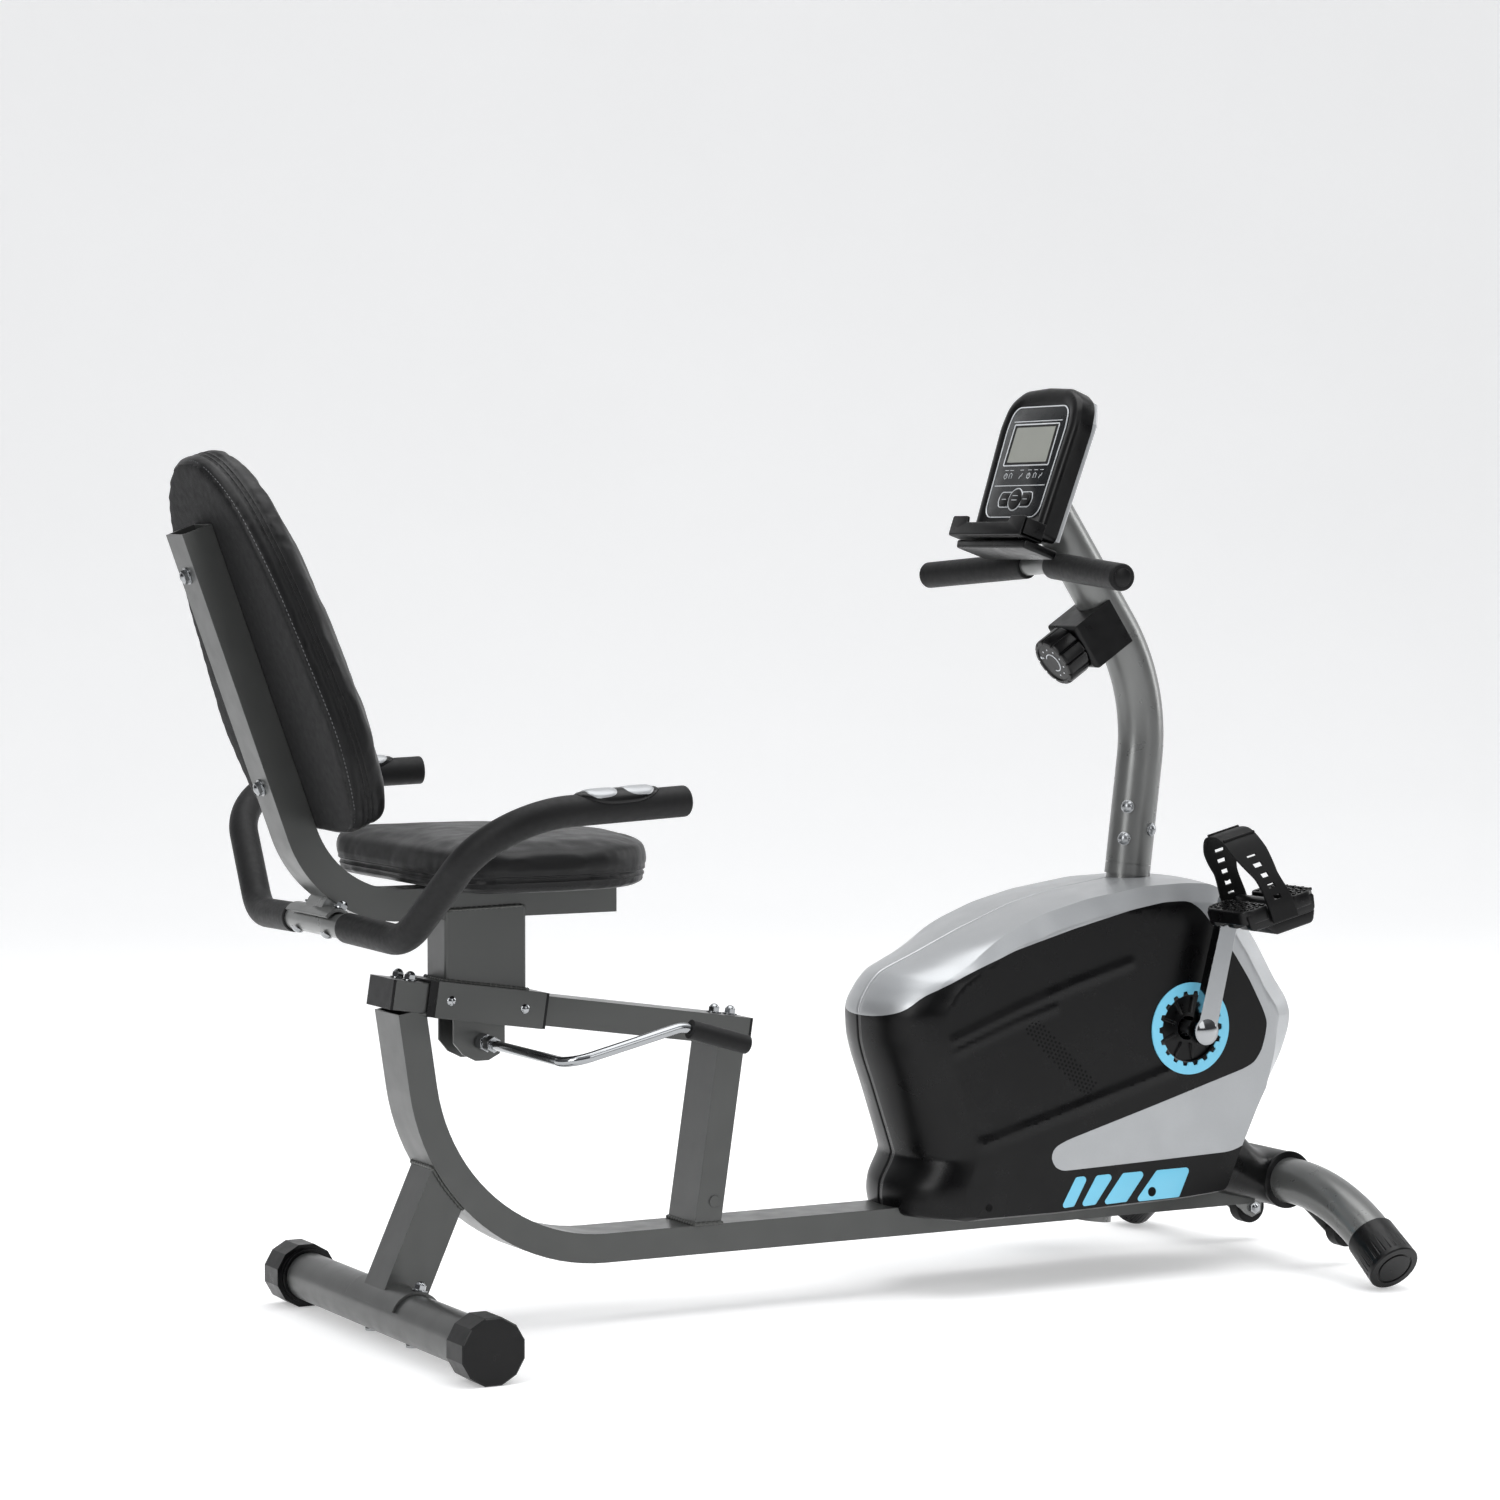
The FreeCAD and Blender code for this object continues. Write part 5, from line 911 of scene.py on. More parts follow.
def cover_half(side, name):
    ys = [0.15, 6, 14, 22, 30, 38, 45, 51, 57, 62, 66.5, 70.5, 74, 76.4, 77.0, 77.8, 80, 82.5, 84.4, 85.0]
    rings = [ring_at(y) for y in ys]
    m = len(OUT)
    verts, uv2 = [], []
    for y, R in zip(ys, rings):
        for x, z in R:
            verts.append((x, side * y, z))
    faces = []
    for i in range(len(ys) - 1):
        for k in range(m):
            k2 = (k + 1) % m
            faces.append((i * m + k, i * m + k2, (i + 1) * m + k2))
            faces.append((i * m + k, (i + 1) * m + k2, (i + 1) * m + k))
    last = rings[-1]
    n_last = (len(ys) - 1) * m
    # side panel: points inside the last ring
    hole = [(CR[0] + 36 * math.cos(2 * PI * k / 60), CR[1] + 36 * math.sin(2 * PI * k / 60)) for k in range(60)]
    pts2 = [Vector(p) for p in last] + [Vector(p) for p in hole]
    edges = [(i, (i + 1) % m) for i in range(m)] + [(m + i, m + (i + 1) % 60) for i in range(60)]
    gx, gz = np.meshgrid(np.arange(560, 1050, 4.2), np.arange(84, 430, 4.2))
    gp = np.stack([(gx + (np.arange(gx.shape[0])[:, None] % 2) * 2.1).ravel(), gz.ravel()], 1)
    A, B = last, np.roll(last, -1, 0)
    keep = []
    for q in gp:
        d = np.hypot(*(A - q).T).min()
        if d < 2.6 or abs(math.hypot(q[0] - CR[0], q[1] - CR[1]) - 36) < 2.4 or math.hypot(q[0] - CR[0], q[1] - CR[1]) < 36:
            continue
        cond = (A[:, 1] > q[1]) != (B[:, 1] > q[1])
        xi = A[:, 0] + (q[1] - A[:, 1]) * (B[:, 0] - A[:, 0]) / np.where(np.abs(B[:, 1] - A[:, 1]) < 1e-9, 1e-9, B[:, 1] - A[:, 1])
        if (cond & (q[0] < xi)).sum() % 2 == 1:
            keep.append(Vector(q))
    # the panel's edge is a line of the mesh, so that the colours meet cleanly
    pts2 += keep
    res = geometry.delaunay_2d_cdt(pts2, edges, [list(range(m))], 1, 1e-5)
    vco, tri = res[0], res[2]
    orig = res[3]
    vmap = {}
    for i, src in enumerate(orig):
        ids = [s for s in src if s < m]
        if ids:
            vmap[i] = n_last + ids[0]
        else:
            x, z = vco[i]
            vmap[i] = len(verts)
            edge = np.hypot(*(A - np.array([x, z])).T).min()
            rr = math.hypot(x - CR[0], z - CR[1])
            fade = min(1.0, edge / 8.0) * min(1.0, max(0.0, (rr - 37) / 12.0))
            verts.append((x, side * (HALF + relief(x, z) * fade), z))
    for t in tri:
        c = sum((vco[i] for i in t), Vector((0, 0))) / 3
        if math.hypot(c.x - CR[0], c.y - CR[1]) < 35.9:
            continue
        faces.append(tuple(vmap[i] for i in t))
    # split the triangles along the colour boundary
    W = np.array(verts)
    s = signed(W[:, [0, 2]])
    vl = [tuple(p) for p in verts]
    cut = {}

    def mid(a, b):
        key = (min(a, b), max(a, b))
        if key not in cut:
            t = s[a] / (s[a] - s[b])
            cut[key] = len(vl)
            vl.append(tuple(W[a] + (W[b] - W[a]) * t))
        return cut[key]

    s[np.abs(s) < 0.05] = 0.05
    F, idx = [], []
    for f in faces:
        sg = [s[i] > 0 for i in f]
        if all(sg) or not any(sg):
            F.append(f)
            idx.append(0 if sg[0] else 1)
            continue
        k = [i for i in range(3) if sg[i] != sg[(i + 1) % 3] and sg[i] != sg[(i + 2) % 3]][0]
        a, b, c = f[k], f[(k + 1) % 3], f[(k + 2) % 3]
        ab, ac = mid(a, b), mid(a, c)
        F.append((a, ab, ac))
        idx.append(0 if s[a] > 0 else 1)
        F.append((ab, b, c))
        idx.append(0 if s[b] > 0 else 1)
        F.append((ab, c, ac))
        idx.append(0 if s[b] > 0 else 1)
    me = bpy.data.meshes.new(name)
    me.from_pydata([tuple(V(*p)) for p in vl], [], F)
    o = bpy.data.objects.new(name, me)
    bpy.context.scene.collection.objects.link(o)
    me.materials.append(M["cover_black"])
    me.materials.append(M["cover_silver"])
    for p, i in zip(me.polygons, idx):
        p.material_index = i
        p.use_smooth = True
    bm = bmesh.new()
    bm.from_mesh(me)
    bmesh.ops.recalc_face_normals(bm, faces=bm.faces)
    out = sum(f.normal.y * f.calc_area() for f in bm.faces if abs(f.normal.y) > 0.9)
    if out * side < 0:
        bmesh.ops.reverse_faces(bm, faces=bm.faces)
    for e in bm.edges:
        if len(e.link_faces) == 2 and e.calc_face_angle(0) > math.radians(24):
            e.smooth = False
    bm.to_mesh(me)
    bm.free()
    md = o.modifiers.new("wall", "SOLIDIFY")
    md.thickness = 0.0022
    md.offset = -1.0
    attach(o, "frame")
    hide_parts("cover_" + name.split("_")[1])
    return o


cover_half(-1, "cover_right_shell")
cover_half(1, "cover_left_shell")

for side, nm in ((-1, "right"), (1, "left")):
    def sp(a, b, n, side=side):
        return V(a, side * (HALF + n), b)

    # light blue slanted marks
    bag = Bag()
    tops = [(760.9, 776.6), (787.1, 810.2), (820.7, 851.2), (864.3, 908.3)]
    bots = [(739.7, 756.3), (764.4, 783.5), (792.1, 823.3), (834.0, 891.3)]
    for (t0, t1), (b0, b1) in zip(tops, bots):
        shape = round_poly([(t0, 120.8), (t1, 121.2), (b1 + 2, 89.5), (b0 + 2, 88.5)], [4, 4, 3, 3], 5)
        bag.add(plate_geo(shape, sp, -0.4, 0.35, 0.15, 2))
    bag.make("side_marks_" + nm, M["blue_trim"], "frame", auto=60)
    # vent strip: the holes are dark hexagonal plates, painted shade in place of real openings
    bag = Bag()
    a0, a1 = Vector((703, 288)), Vector((779, 214))
    w = (a1 - a0).normalized()
    q = Vector((-w.y, w.x))
    n_l, n_w = 24, 4
    for i in range(n_l):
        for j in range(n_w + (i % 2)):
            c = a0.lerp(a1, i / (n_l - 1)) + q * ((j - (n_w - 1 + (i % 2)) / 2.0) * 4.6)
            hexa = [(c.x + 1.55 * math.cos(PI / 3 * k), c.y + 1.55 * math.sin(PI / 3 * k)) for k in range(6)]
            bag.add(plate_geo(hexa, sp, -0.5, 0.12, 0.0))
    bag.make("vent_holes_" + nm, M["painted_hole_shade"], "frame", auto=60)
    # recessed bearing cover behind the crank, with spokes
    bag = Bag()
    o36 = [(CR[0] + 37.5 * math.cos(2 * PI * k / 48), CR[1] + 37.5 * math.sin(2 * PI * k / 48)) for k in range(48)]
    i14 = [(CR[0] + 13 * math.cos(2 * PI * k / 48), CR[1] + 13 * math.sin(2 * PI * k / 48)) for k in range(48)]
    verts, faces = [], []
    for n, ring in ((-7.5, o36), (-4.5, o36), (-4.5, i14), (-7.5, i14)):
        verts += [sp(a, b, n) for a, b in ring]
    for r_ in range(4):
        for k in range(48):
            k2 = (k + 1) % 48
            r2 = (r_ + 1) % 4
            faces.append((r_ * 48 + k, r_ * 48 + k2, r2 * 48 + k2, r2 * 48 + k))
    bag.add((verts, faces))
    for k in range(9):
        a = 2 * PI * k / 9
        c0 = (CR[0] + 17 * math.cos(a), CR[1] + 17 * math.sin(a))
        c1 = (CR[0] + 34 * math.cos(a), CR[1] + 34 * math.sin(a))
        t = (-math.sin(a) * 1.4, math.cos(a) * 1.4)
        bag.add(plate_geo(round_poly([(c0[0] - t[0], c0[1] - t[1]), (c1[0] - t[0], c1[1] - t[1]), (c1[0] + t[0], c1[1] + t[1]), (c0[0] + t[0], c0[1] + t[1])], 0.5, 2), sp, -5.0, -2.6, 0.4, 2))
    bag.make("crank_recess_" + nm, M["black_plastic"], "frame")
    # two small screw holes near the lower edge, drawn as dark discs: painted shade in place of real recesses
    bag = Bag()
    for x, z, r in ((652, 96, 4.0), (858, 98, 5.2)):
        bag.add(disc_geo(sp(x, z, -0.5), Vector((0, side, 0)), r / 1000, 0.0009, 20))
    bag.make("screw_holes_" + nm, M["painted_hole_shade"], "frame")

# front shroud: from the cover down to the floor tube
FX, FZ = 1056.0, 93.0
secs = []
for t in np.linspace(0, 1, 9):
    x = 962 + (FX - 962) * t
    hw = 82 - (82 - 55) * (t ** 0.8)
    top = 232 - (232 - 124) * (1 - (1 - t) ** 1.9)
    bot = 84 - 22 * t
    secs.append((x, hw, top, bot))
verts, faces = [], []
SEG = 40
for x, hw, top, bot in secs:
    cz, hz = (top + bot) / 2, (top - bot) / 2
    for k in range(SEG):
        a = 2 * PI * k / SEG
        c_, s_ = math.cos(a), math.sin(a)
        yy = hw * (abs(c_) ** 0.55) * (1 if c_ > 0 else -1)
        zz = cz + hz * (abs(s_) ** 0.7) * (1 if s_ > 0 else -1)
        slope = (zz - bot) / (top - bot)
        verts.append(V(x - 10 * slope, yy, zz))
for i in range(len(secs) - 1):
    for k in range(SEG):
        k2 = (k + 1) % SEG
        faces.append((i * SEG + k, i * SEG + k2, (i + 1) * SEG + k2, (i + 1) * SEG + k))
faces.append(tuple(range(SEG - 1, -1, -1)))
faces.append(tuple((len(secs) - 1) * SEG + k for k in range(SEG)))
shroud = new_mesh("front_shroud", verts, faces, M["cover_black"])
sl_pts = [V(FX, y, FZ) for y in np.linspace(-60, 60, 17)]
sl_r = [0.0325 if abs(y) > 56 else 0.0315 for y in np.linspace(-60, 60, 17)]
v, f = sweep_geo(sl_pts, sl_r, 40)
sleeve = new_mesh("shroud_sleeve", v, f, M["cover_black"])
bpy.context.view_layer.objects.active = shroud
for o in bpy.context.selected_objects:
    o.select_set(False)
shroud.select_set(True)
sleeve.select_set(True)
bpy.ops.object.join()
remesh(shroud, 0.003)
relax(shroud, 14, 0.6)
smooth_all(shroud)
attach(shroud, "frame")
for side in (-1, 1):
    v, f = sweep_geo([V(FX, side * y, FZ) for y in (55.5, 56.5, 60.5, 61.5)], [0.0300, 0.0318, 0.0318, 0.0300], 48)
    new_mesh("shroud_lip_%s" % ("right" if side < 0 else "left"), v, f, M["cover_black"], "frame", auto=40)

# ------------------------------------------------------------------ console
CT = math.radians(19)
CU = Vector((math.sin(CT), 0, math.cos(CT)))
CN = Vector((-math.cos(CT), 0, math.sin(CT)))
C0 = Vector((747.5, 0, 882.1))


def cf(a, b, n):
    """a across (towards the rider's left), b up the face, n out of the face."""
    p = C0 + CU * b + Vector((0, a, 0)) + CN * n
    return V(*p)


front_o = round_poly([(-70, -84), (70, -84), (77, 44), (71, 73), (46, 86.5), (0, 89), (-46, 86.5), (-71, 73), (-77, 44)], [9, 9, 50, 34, 40, 90, 40, 34, 50], 8)
bag = Bag()
P = np.array(front_o)
nn = normals2d(P)
# rim, then a shallow dish in which the face panel sits
rings = [(0.6, -22), (0, -6), (1.2, -2.6), (4, -0.4), (8, 0.6), (12.5, 0.2), (15.5, -0.8), (17.0, -1.2)]
verts, faces = [], []
for ins, n in rings:
    for a, b in P - nn * ins:
        verts.append(cf(a, b, n))
m = len(P)
for i in range(len(rings) - 1):
    for k in range(m):
        k2 = (k + 1) % m
        faces.append((i * m + k, i * m + k2, (i + 1) * m + k2, (i + 1) * m + k))
faces.append(tuple(range(m - 1, -1, -1)))
faces.append(tuple((len(rings) - 1) * m + k for k in range(m)))
rim = new_mesh("console_rim", verts, faces, M["black_plastic"], "frame", auto=45)
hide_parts("console_front_housing")
face_o = round_poly([(-54, -60), (54, -60), (58, 40), (54, 66), (-54, 66), (-58, 40)], [14, 14, 30, 15, 15, 30], 8)
bag = Bag()
bag.add(plate_geo(face_o, cf, -2.0, -0.55, 0.2, 2))
face_ob = bag.make("console_face", M["panel_grey"], "frame", auto=60)


def strip(line, r, bag, n=-0.55, closed=False):
    pts = [cf(a, b, n) for a, b in line]
    bag.add(sweep_geo(pts, r / 1000.0, 6, closed=closed))


lines = Bag()
strip(resample(face_o, 120), 0.75, lines, closed=True)
strip([(-48, 49.5), (48, 49.5)], 0.5, lines)
strip([(-50, -24), (50, -24)], 0.5, lines)
strip(round_poly([(-45, -1), (45, -1), (44.5, 46), (-44.5, 46)], 1.5, 3), 0.8, lines, closed=True)
# small symbols under the screen
for i, x in enumerate((34, 24, 3.5, -12, -24.5, -36)):
    strip([(x + 3.5, -6.4), (x - 3.5, -6.4)], 0.35, lines)
    if i % 3 == 0:
        strip([(x + 3 * math.cos(a), -13 + 3 * math.sin(a)) for a in np.linspace(0, 2 * PI, 14)[:-1]], 0.35, lines, closed=True)
        strip([(x, -13), (x, -11)], 0.35, lines)
    elif i % 3 == 1:
        strip([(x - 2.5, -15.5), (x - 2.5, -11), (x, -9.6), (x + 2.5, -11), (x + 2.5, -15.5)], 0.35, lines, closed=True)
    else:
        strip([(x + 2.5, -16), (x + 0.5, -12.5), (x - 0.5, -13.5), (x - 2.5, -10)], 0.35, lines)
ell = [(13 * math.cos(a), -40 + 12.4 * math.sin(a)) for a in np.linspace(0, 2 * PI, 40)[:-1]]
strip(ell, 0.7, lines, n=-0.4, closed=True)
for sgn in (-1, 1):
    strip([(sgn * 11.5, -31.5), (sgn * 28, -31.5), (sgn * 31, -33), (sgn * 33.4, -38), (sgn * 33.4, -42), (sgn * 31, -47), (sgn * 28, -48.5), (sgn * 11.5, -48.5)], 0.6, lines)
lines.make("console_lines", M["print_silver"], "frame")
# keys, each in its own pocket
pockets = []
for nm, body, outl, lab in (
        ("key_center", "btn_c", ell, ((-5, -36), (5, -36))),
        ("key_left", "btn_l", round_poly([(12, -33), (28, -33), (32, -40), (28, -47), (12, -47)], [2, 6, 3, 6, 2], 5), ((17, -40), (25, -40))),
        ("key_right", "btn_r", round_poly([(-12, -47), (-28, -47), (-32, -40), (-28, -33), (-12, -33)], [2, 6, 3, 6, 2], 5), ((-25, -40), (-17, -40)))):
    o2 = np.array(outl)
    c = o2.mean(0)
    v, f = plate_geo(c + (o2 - c) * 0.955, cf, -6.0, 4.0, 0.0)
    pockets.append(new_mesh(nm + "_pocket", v, f, M["black_plastic"]))
    o2 = c + (o2 - c) * 0.9
    bag = Bag()
    bag.add(plate_geo(o2, cf, -1.6, 0.9, 0.7, 3))
    k_ = bag.make(nm, M["black_plastic"], body, auto=60)
    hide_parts({"key_center": "button_center", "key_left": "button_left", "key_right": "button_right"}[nm])
    bag = Bag()
    strip([lab[0], lab[1]], 0.4, bag, n=0.95)
    if nm == "key_center":
        strip([(-5, -41), (5, -41)], 0.55, bag, n=0.95)
    bag.make(nm + "_mark", M["print_silver"], body)
for tgt in (face_ob, rim):
    for i, c in enumerate(pockets):
        m = tgt.modifiers.new("pocket_%d" % i, "BOOLEAN")
        m.operation = "DIFFERENCE"
        m.solver = "EXACT"
        m.object = c
    me = bpy.data.meshes.new_from_object(tgt.evaluated_get(bpy.context.evaluated_depsgraph_get()))
    tgt.modifiers.clear()
    if len(me.polygons) > 20:
        bm = bmesh.new()
        bm.from_mesh(me)
        for e in bm.edges:
            if len(e.link_faces) == 2 and e.calc_face_angle(0) > math.radians(45):
                e.smooth = False
        bm.to_mesh(me)
        bm.free()
        tgt.data = me
for c in pockets:
    bpy.data.objects.remove(c, do_unlink=True)
# the screen: a framed display behind its window
bag = Bag()
bag.add(plate_geo(round_poly([(-44, 0), (44, 0), (43.5, 45), (-43.5, 45)], 1.5, 3), cf, -1.4, -0.35, 0.1, 1))
bag.make("screen_bezel", M["black_plastic"], "frame")
bag = Bag()
bag.add(plate_geo(round_poly([(-39, 2.6), (39, 2.6), (38.5, 42.6), (-38.5, 42.6)], 1.0, 3), cf, -1.0, -0.15, 0.1, 1))
scr = bag.make("screen_window", M["screen_glass"], "frame")
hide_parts("console_lens")

# shelf for a phone or book
trayv = Bag()
lip_o = round_poly([(-73, -89), (73, -89), (73, -66.7), (44, -66.7), (42, -74), (-42, -74), (-44, -66.7), (-73, -66.7)], [3, 3, 2.5, 2.5, 2, 2, 2.5, 2.5], 4)
trayv.add(plate_geo(lip_o, cf, 21.5, 25.5, 1.2, 3, back_bevel=0.8))
floor_o = round_poly([(-73, -89), (73, -89), (73, -84.5), (-73, -84.5)], 1.2, 3)
trayv.add(plate_geo(floor_o, cf, -3.0, 24.5, 0.5, 2))
for sgn in (-1, 1):
    trayv.add(plate_geo(round_poly([(sgn * 69.5, -89), (sgn * 73, -89), (sgn * 73, -68), (sgn * 69.5, -68)], 1.2, 3), cf, -3.0, 24.5, 0.5, 2))
low_o = round_poly([(-69, -99.5), (69, -99.5), (71, -90), (-71, -90)], [3.5, 3.5, 2, 2], 4)
trayv.add(plate_geo(low_o, cf, -27, 14, 2.4, 4, back_bevel=2.0))
tr = trayv.make("console_shelf", M["black_plastic"], "frame", auto=45)
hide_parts("console_tray")

# ------------------------------------------------------------------ tension knob
MB = math.radians(33.7)
KN = Vector((-math.cos(MB), 0, -math.sin(MB)))
MU = Vector((-math.sin(MB), 0, math.cos(MB)))
KF = Vector((856.4, 0, 716.1)) + KN * 59.0


def kf(a, b, n):
    p = KF + MU * b + Vector((0, a, 0)) + KN * n
    return V(*p)


lobes = 12
out = []
for k in range(lobes * 16):
    a = 2 * PI * k / (lobes * 16)
    ph = (k % 16) / 16.0
    r = 28.4 if ph > 0.22 else 28.4 - 2.6 * math.sin(PI * ph / 0.22)
    out.append((r * math.cos(a), r * math.sin(a)))
bag = Bag()
P = np.array(out)
rings = [(0.97, 1.0), (1.0, 2.2), (1.0, 25.6), (0.985, 27.4), (0.95, 28.5), (0.84, 28.9), (0.81, 28.0), (0.79, 27.4)]
verts, faces = [], []
m = len(P)
for j, (sc_, n) in enumerate(rings):
    for a, b in P:
        r = math.hypot(a, b)
        rr = 28.1 * sc_ if sc_ < 0.9 else r * sc_
        verts.append(kf(a / r * rr, b / r * rr, n))
for i in range(len(rings) - 1):
    for k in range(m):
        k2 = (k + 1) % m
        faces.append((i * m + k, i * m + k2, (i + 1) * m + k2, (i + 1) * m + k))
faces.append(tuple(range(m - 1, -1, -1)))
faces.append(tuple((len(rings) - 1) * m + k for k in range(m)))
kb = new_mesh("knob_body", verts, faces, M["black_plastic"], "knob", auto=35)
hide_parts("tension_knob")
bag = Bag()
arc = [(10.5 * math.cos(a), 10.5 * math.sin(a), 27.55) for a in np.linspace(0.5, 0.5 + 1.45 * PI, 26)]
bag.add(sweep_geo([kf(*p) for p in arc], 0.0007, 6))
for k in range(8):
    a = 0.35 + k * 0.62
    c = kf(16.4 * math.cos(a), 16.4 * math.sin(a), 27.3)
    bag.add(disc_geo(c, KN, 0.0010, 0.0004, 10))
bag.add(disc_geo(kf(19.0, 6, 27.3), KN, 0.0016, 0.0005, 12))
bag.make("knob_marks", M["print_silver"], "knob")

# ------------------------------------------------------------------ pedals
CA = math.radians(14)
CDIR = Vector((math.sin(CA), 0, math.cos(CA)))
PA = math.radians(14)
PXV = Vector((math.cos(PA), 0, math.sin(PA)))
PZV = Vector((-math.sin(PA), 0, math.cos(PA)))
for side, nm in ((-1, "right"), (1, "left")):
    body = "pedal_r" if side < 0 else "pedal_l"
    cc = Vector((CR[0], 0, CR[1])) + CDIR * (141 if side < 0 else -141)
    Y0, W_ = 128.0, 78.0

    def pp(x, y, z, cc=cc, side=side):
        p = cc + PXV * x + PZV * z
        return V(p.x, side * y, p.z)

    bag = Bag()
    # two oval treads
    for x0, x1 in ((-48, -15), (15, 48)):
        ov = round_poly([(x0, Y0), (x1, Y0), (x1, Y0 + W_), (x0, Y0 + W_)], [15, 6, 6, 15] if x0 < 0 else [6, 15, 15, 6], 7)
        bag.add(plate_geo(ov, lambda a, b, n: pp(a, b, n), -5, 9.0, 1.4, 3, back_bevel=1.5))
        rimo = np.array(round_poly([(x0, Y0), (x1, Y0), (x1, Y0 + W_), (x0, Y0 + W_)], [15, 6, 6, 15] if x0 < 0 else [6, 15, 15, 6], 7))
        rn = normals2d(rimo)
        bag.add(sweep_geo([pp(a, b, 8.6) for a, b in rimo - rn * 1.8], 0.0017, 8, closed=True))
    # grippy studs
    for i in range(4):
        for j in range(10):
            for x0 in (-44, 19):
                x = x0 + 2.5 + i * 7.0 + (j % 2) * 2.2
                y = Y0 + 7 + j * 7.0
                if x > x0 + 27:
                    continue
                r = 2.4 + 0.6 * noise.noise(Vector((x, y, 0)) * 0.37)
                ang = (i * 37 + j * 53) % 90
                sq = [(x + r * math.cos(math.radians(ang + q * 90)), y + r * math.sin(math.radians(ang + q * 90))) for q in range(4)]
                bag.add(plate_geo(sq, lambda a, b, n: pp(a, b, n), 8.0, 10.8, 0.0))
    # cross members and hub
    for ya, yb in ((Y0 + 1, Y0 + 10), (Y0 + W_ - 10, Y0 + W_ - 1), (Y0 + 33, Y0 + 45)):
        q = round_poly([(-42, -13), (42, -13), (44, 6), (-44, 6)], [6, 6, 3, 3], 4)
        bag.add(plate_geo(q, lambda a, b, n: pp(a, n, b), ya, yb, 1.0, 2, back_bevel=1.0))
    q = [(11 * math.cos(t), 11 * math.sin(t)) for t in np.linspace(0, 2 * PI, 25)[:-1]]
    bag.add(plate_geo(q, lambda a, b, n: pp(a, n, b), Y0 + 1, Y0 + W_ - 1, 1.0, 2, back_bevel=1.0))
    # weighted underside
    q = round_poly([(-22, -14), (-8, -26), (40, -26), (45, -12), (40, -6), (-22, -6)], [5, 6, 7, 5, 3, 3], 5)
    bag.add(plate_geo(q, lambda a, b, n: pp(a, n, b), Y0 + 5, Y0 + W_ - 5, 2.5, 3, back_bevel=2.5))
    pd = bag.make("pedal_body_" + nm, M["black_plastic"], body, auto=40)
    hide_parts("pedal_" + nm)
    # strap: band over the foot with adjustment slots
    line = [(Y0 - 5.2, -10), (Y0 - 5.2, 30), (Y0 - 2, 60), (Y0 + 9, 82.5), (Y0 + 24, 87), (Y0 + W_ - 36, 85), (Y0 + W_ - 18, 59), (Y0 + W_ + 2.2, 20), (Y0 + W_ + 2.2, -10)]
    dense = resample(chaikin(line, 3, closed=False), 90, closed=False)
    tt = np.gradient(dense, axis=0)
    tt /= np.linalg.norm(tt, axis=1)[:, None]
    nrm2 = np.stack([-tt[:, 1], tt[:, 0]], 1)
    th = 1.4
    holes = set()
    xs = [-17, -11.5, -7, -2.5, 2.5, 6, 10, 15]
    verts, faces, keyv = [], [], {}
    arc_len = np.r_[0, np.cumsum(np.linalg.norm(np.diff(dense, axis=0), axis=1))]

    def vid(i, j, layer):
        key = (i, j, layer)
        if key not in keyv:
            off = th if layer else -th
            y, z = dense[i] + nrm2[i] * off
            keyv[key] = len(verts)
            edge = 0.5 if j in (0, len(xs) - 1) and layer else 0.0
            wide = 1.0 + 0.32 * min(1.0, max(0.0, (z - 40) / 26.0)) - 0.10 * math.exp(-((z - 34) / 14.0) ** 2)
            verts.append(pp(xs[j] * wide - 0.15 * z, y, z - edge))
        return keyv[key]

    cells = set()
    for i in range(len(dense) - 1):
        for j in range(len(xs) - 1):
            s_mid = (arc_len[i] + arc_len[i + 1]) / 2
            slot_zone = (24 < s_mid < 78) or (arc_len[-1] - 78 < s_mid < arc_len[-1] - 24)
            if slot_zone and j in (2, 3) and (s_mid % 13) > 7.0:
                continue
            cells.add((i, j))
    for (i, j) in cells:
        faces.append((vid(i, j, 1), vid(i + 1, j, 1), vid(i + 1, j + 1, 1), vid(i, j + 1, 1)))
        faces.append((vid(i, j, 0), vid(i, j + 1, 0), vid(i + 1, j + 1, 0), vid(i + 1, j, 0)))
        for (di, dj, e0, e1) in ((-1, 0, (i, j), (i, j + 1)), (1, 0, (i + 1, j), (i + 1, j + 1)), (0, -1, (i, j), (i + 1, j)), (0, 1, (i, j + 1), (i + 1, j + 1))):
            if (i + di, j + dj) not in cells:
                faces.append((vid(*e0, 0), vid(*e1, 0), vid(*e1, 1), vid(*e0, 1)))
    st = new_mesh("pedal_strap_band_" + nm, verts, faces, M["tyre_rubber"], body, auto=40)
    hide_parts("pedal_strap_" + nm)
    # two ridges across the top of the strap and the buckle stud
    bag = Bag()
    for ii in (40, 50):
        y, z = dense[ii] + nrm2[ii] * 1.8
        bag.add(sweep_geo([pp(-21 - 0.15 * z, y, z), pp(0 - 0.15 * z, y, z), pp(19 - 0.15 * z, y, z)], 0.0016, 8))
    y, z = dense[16] + nrm2[16] * 0.8
    bag.add(disc_geo(pp(-1 - 0.15 * z, y, z), (pp(0, *(dense[16] + nrm2[16] * 5)) - pp(0, *dense[16])), 0.0042, 0.0035, 18, 0.001))
    bag.make("strap_details_" + nm, M["tyre_rubber"], body)

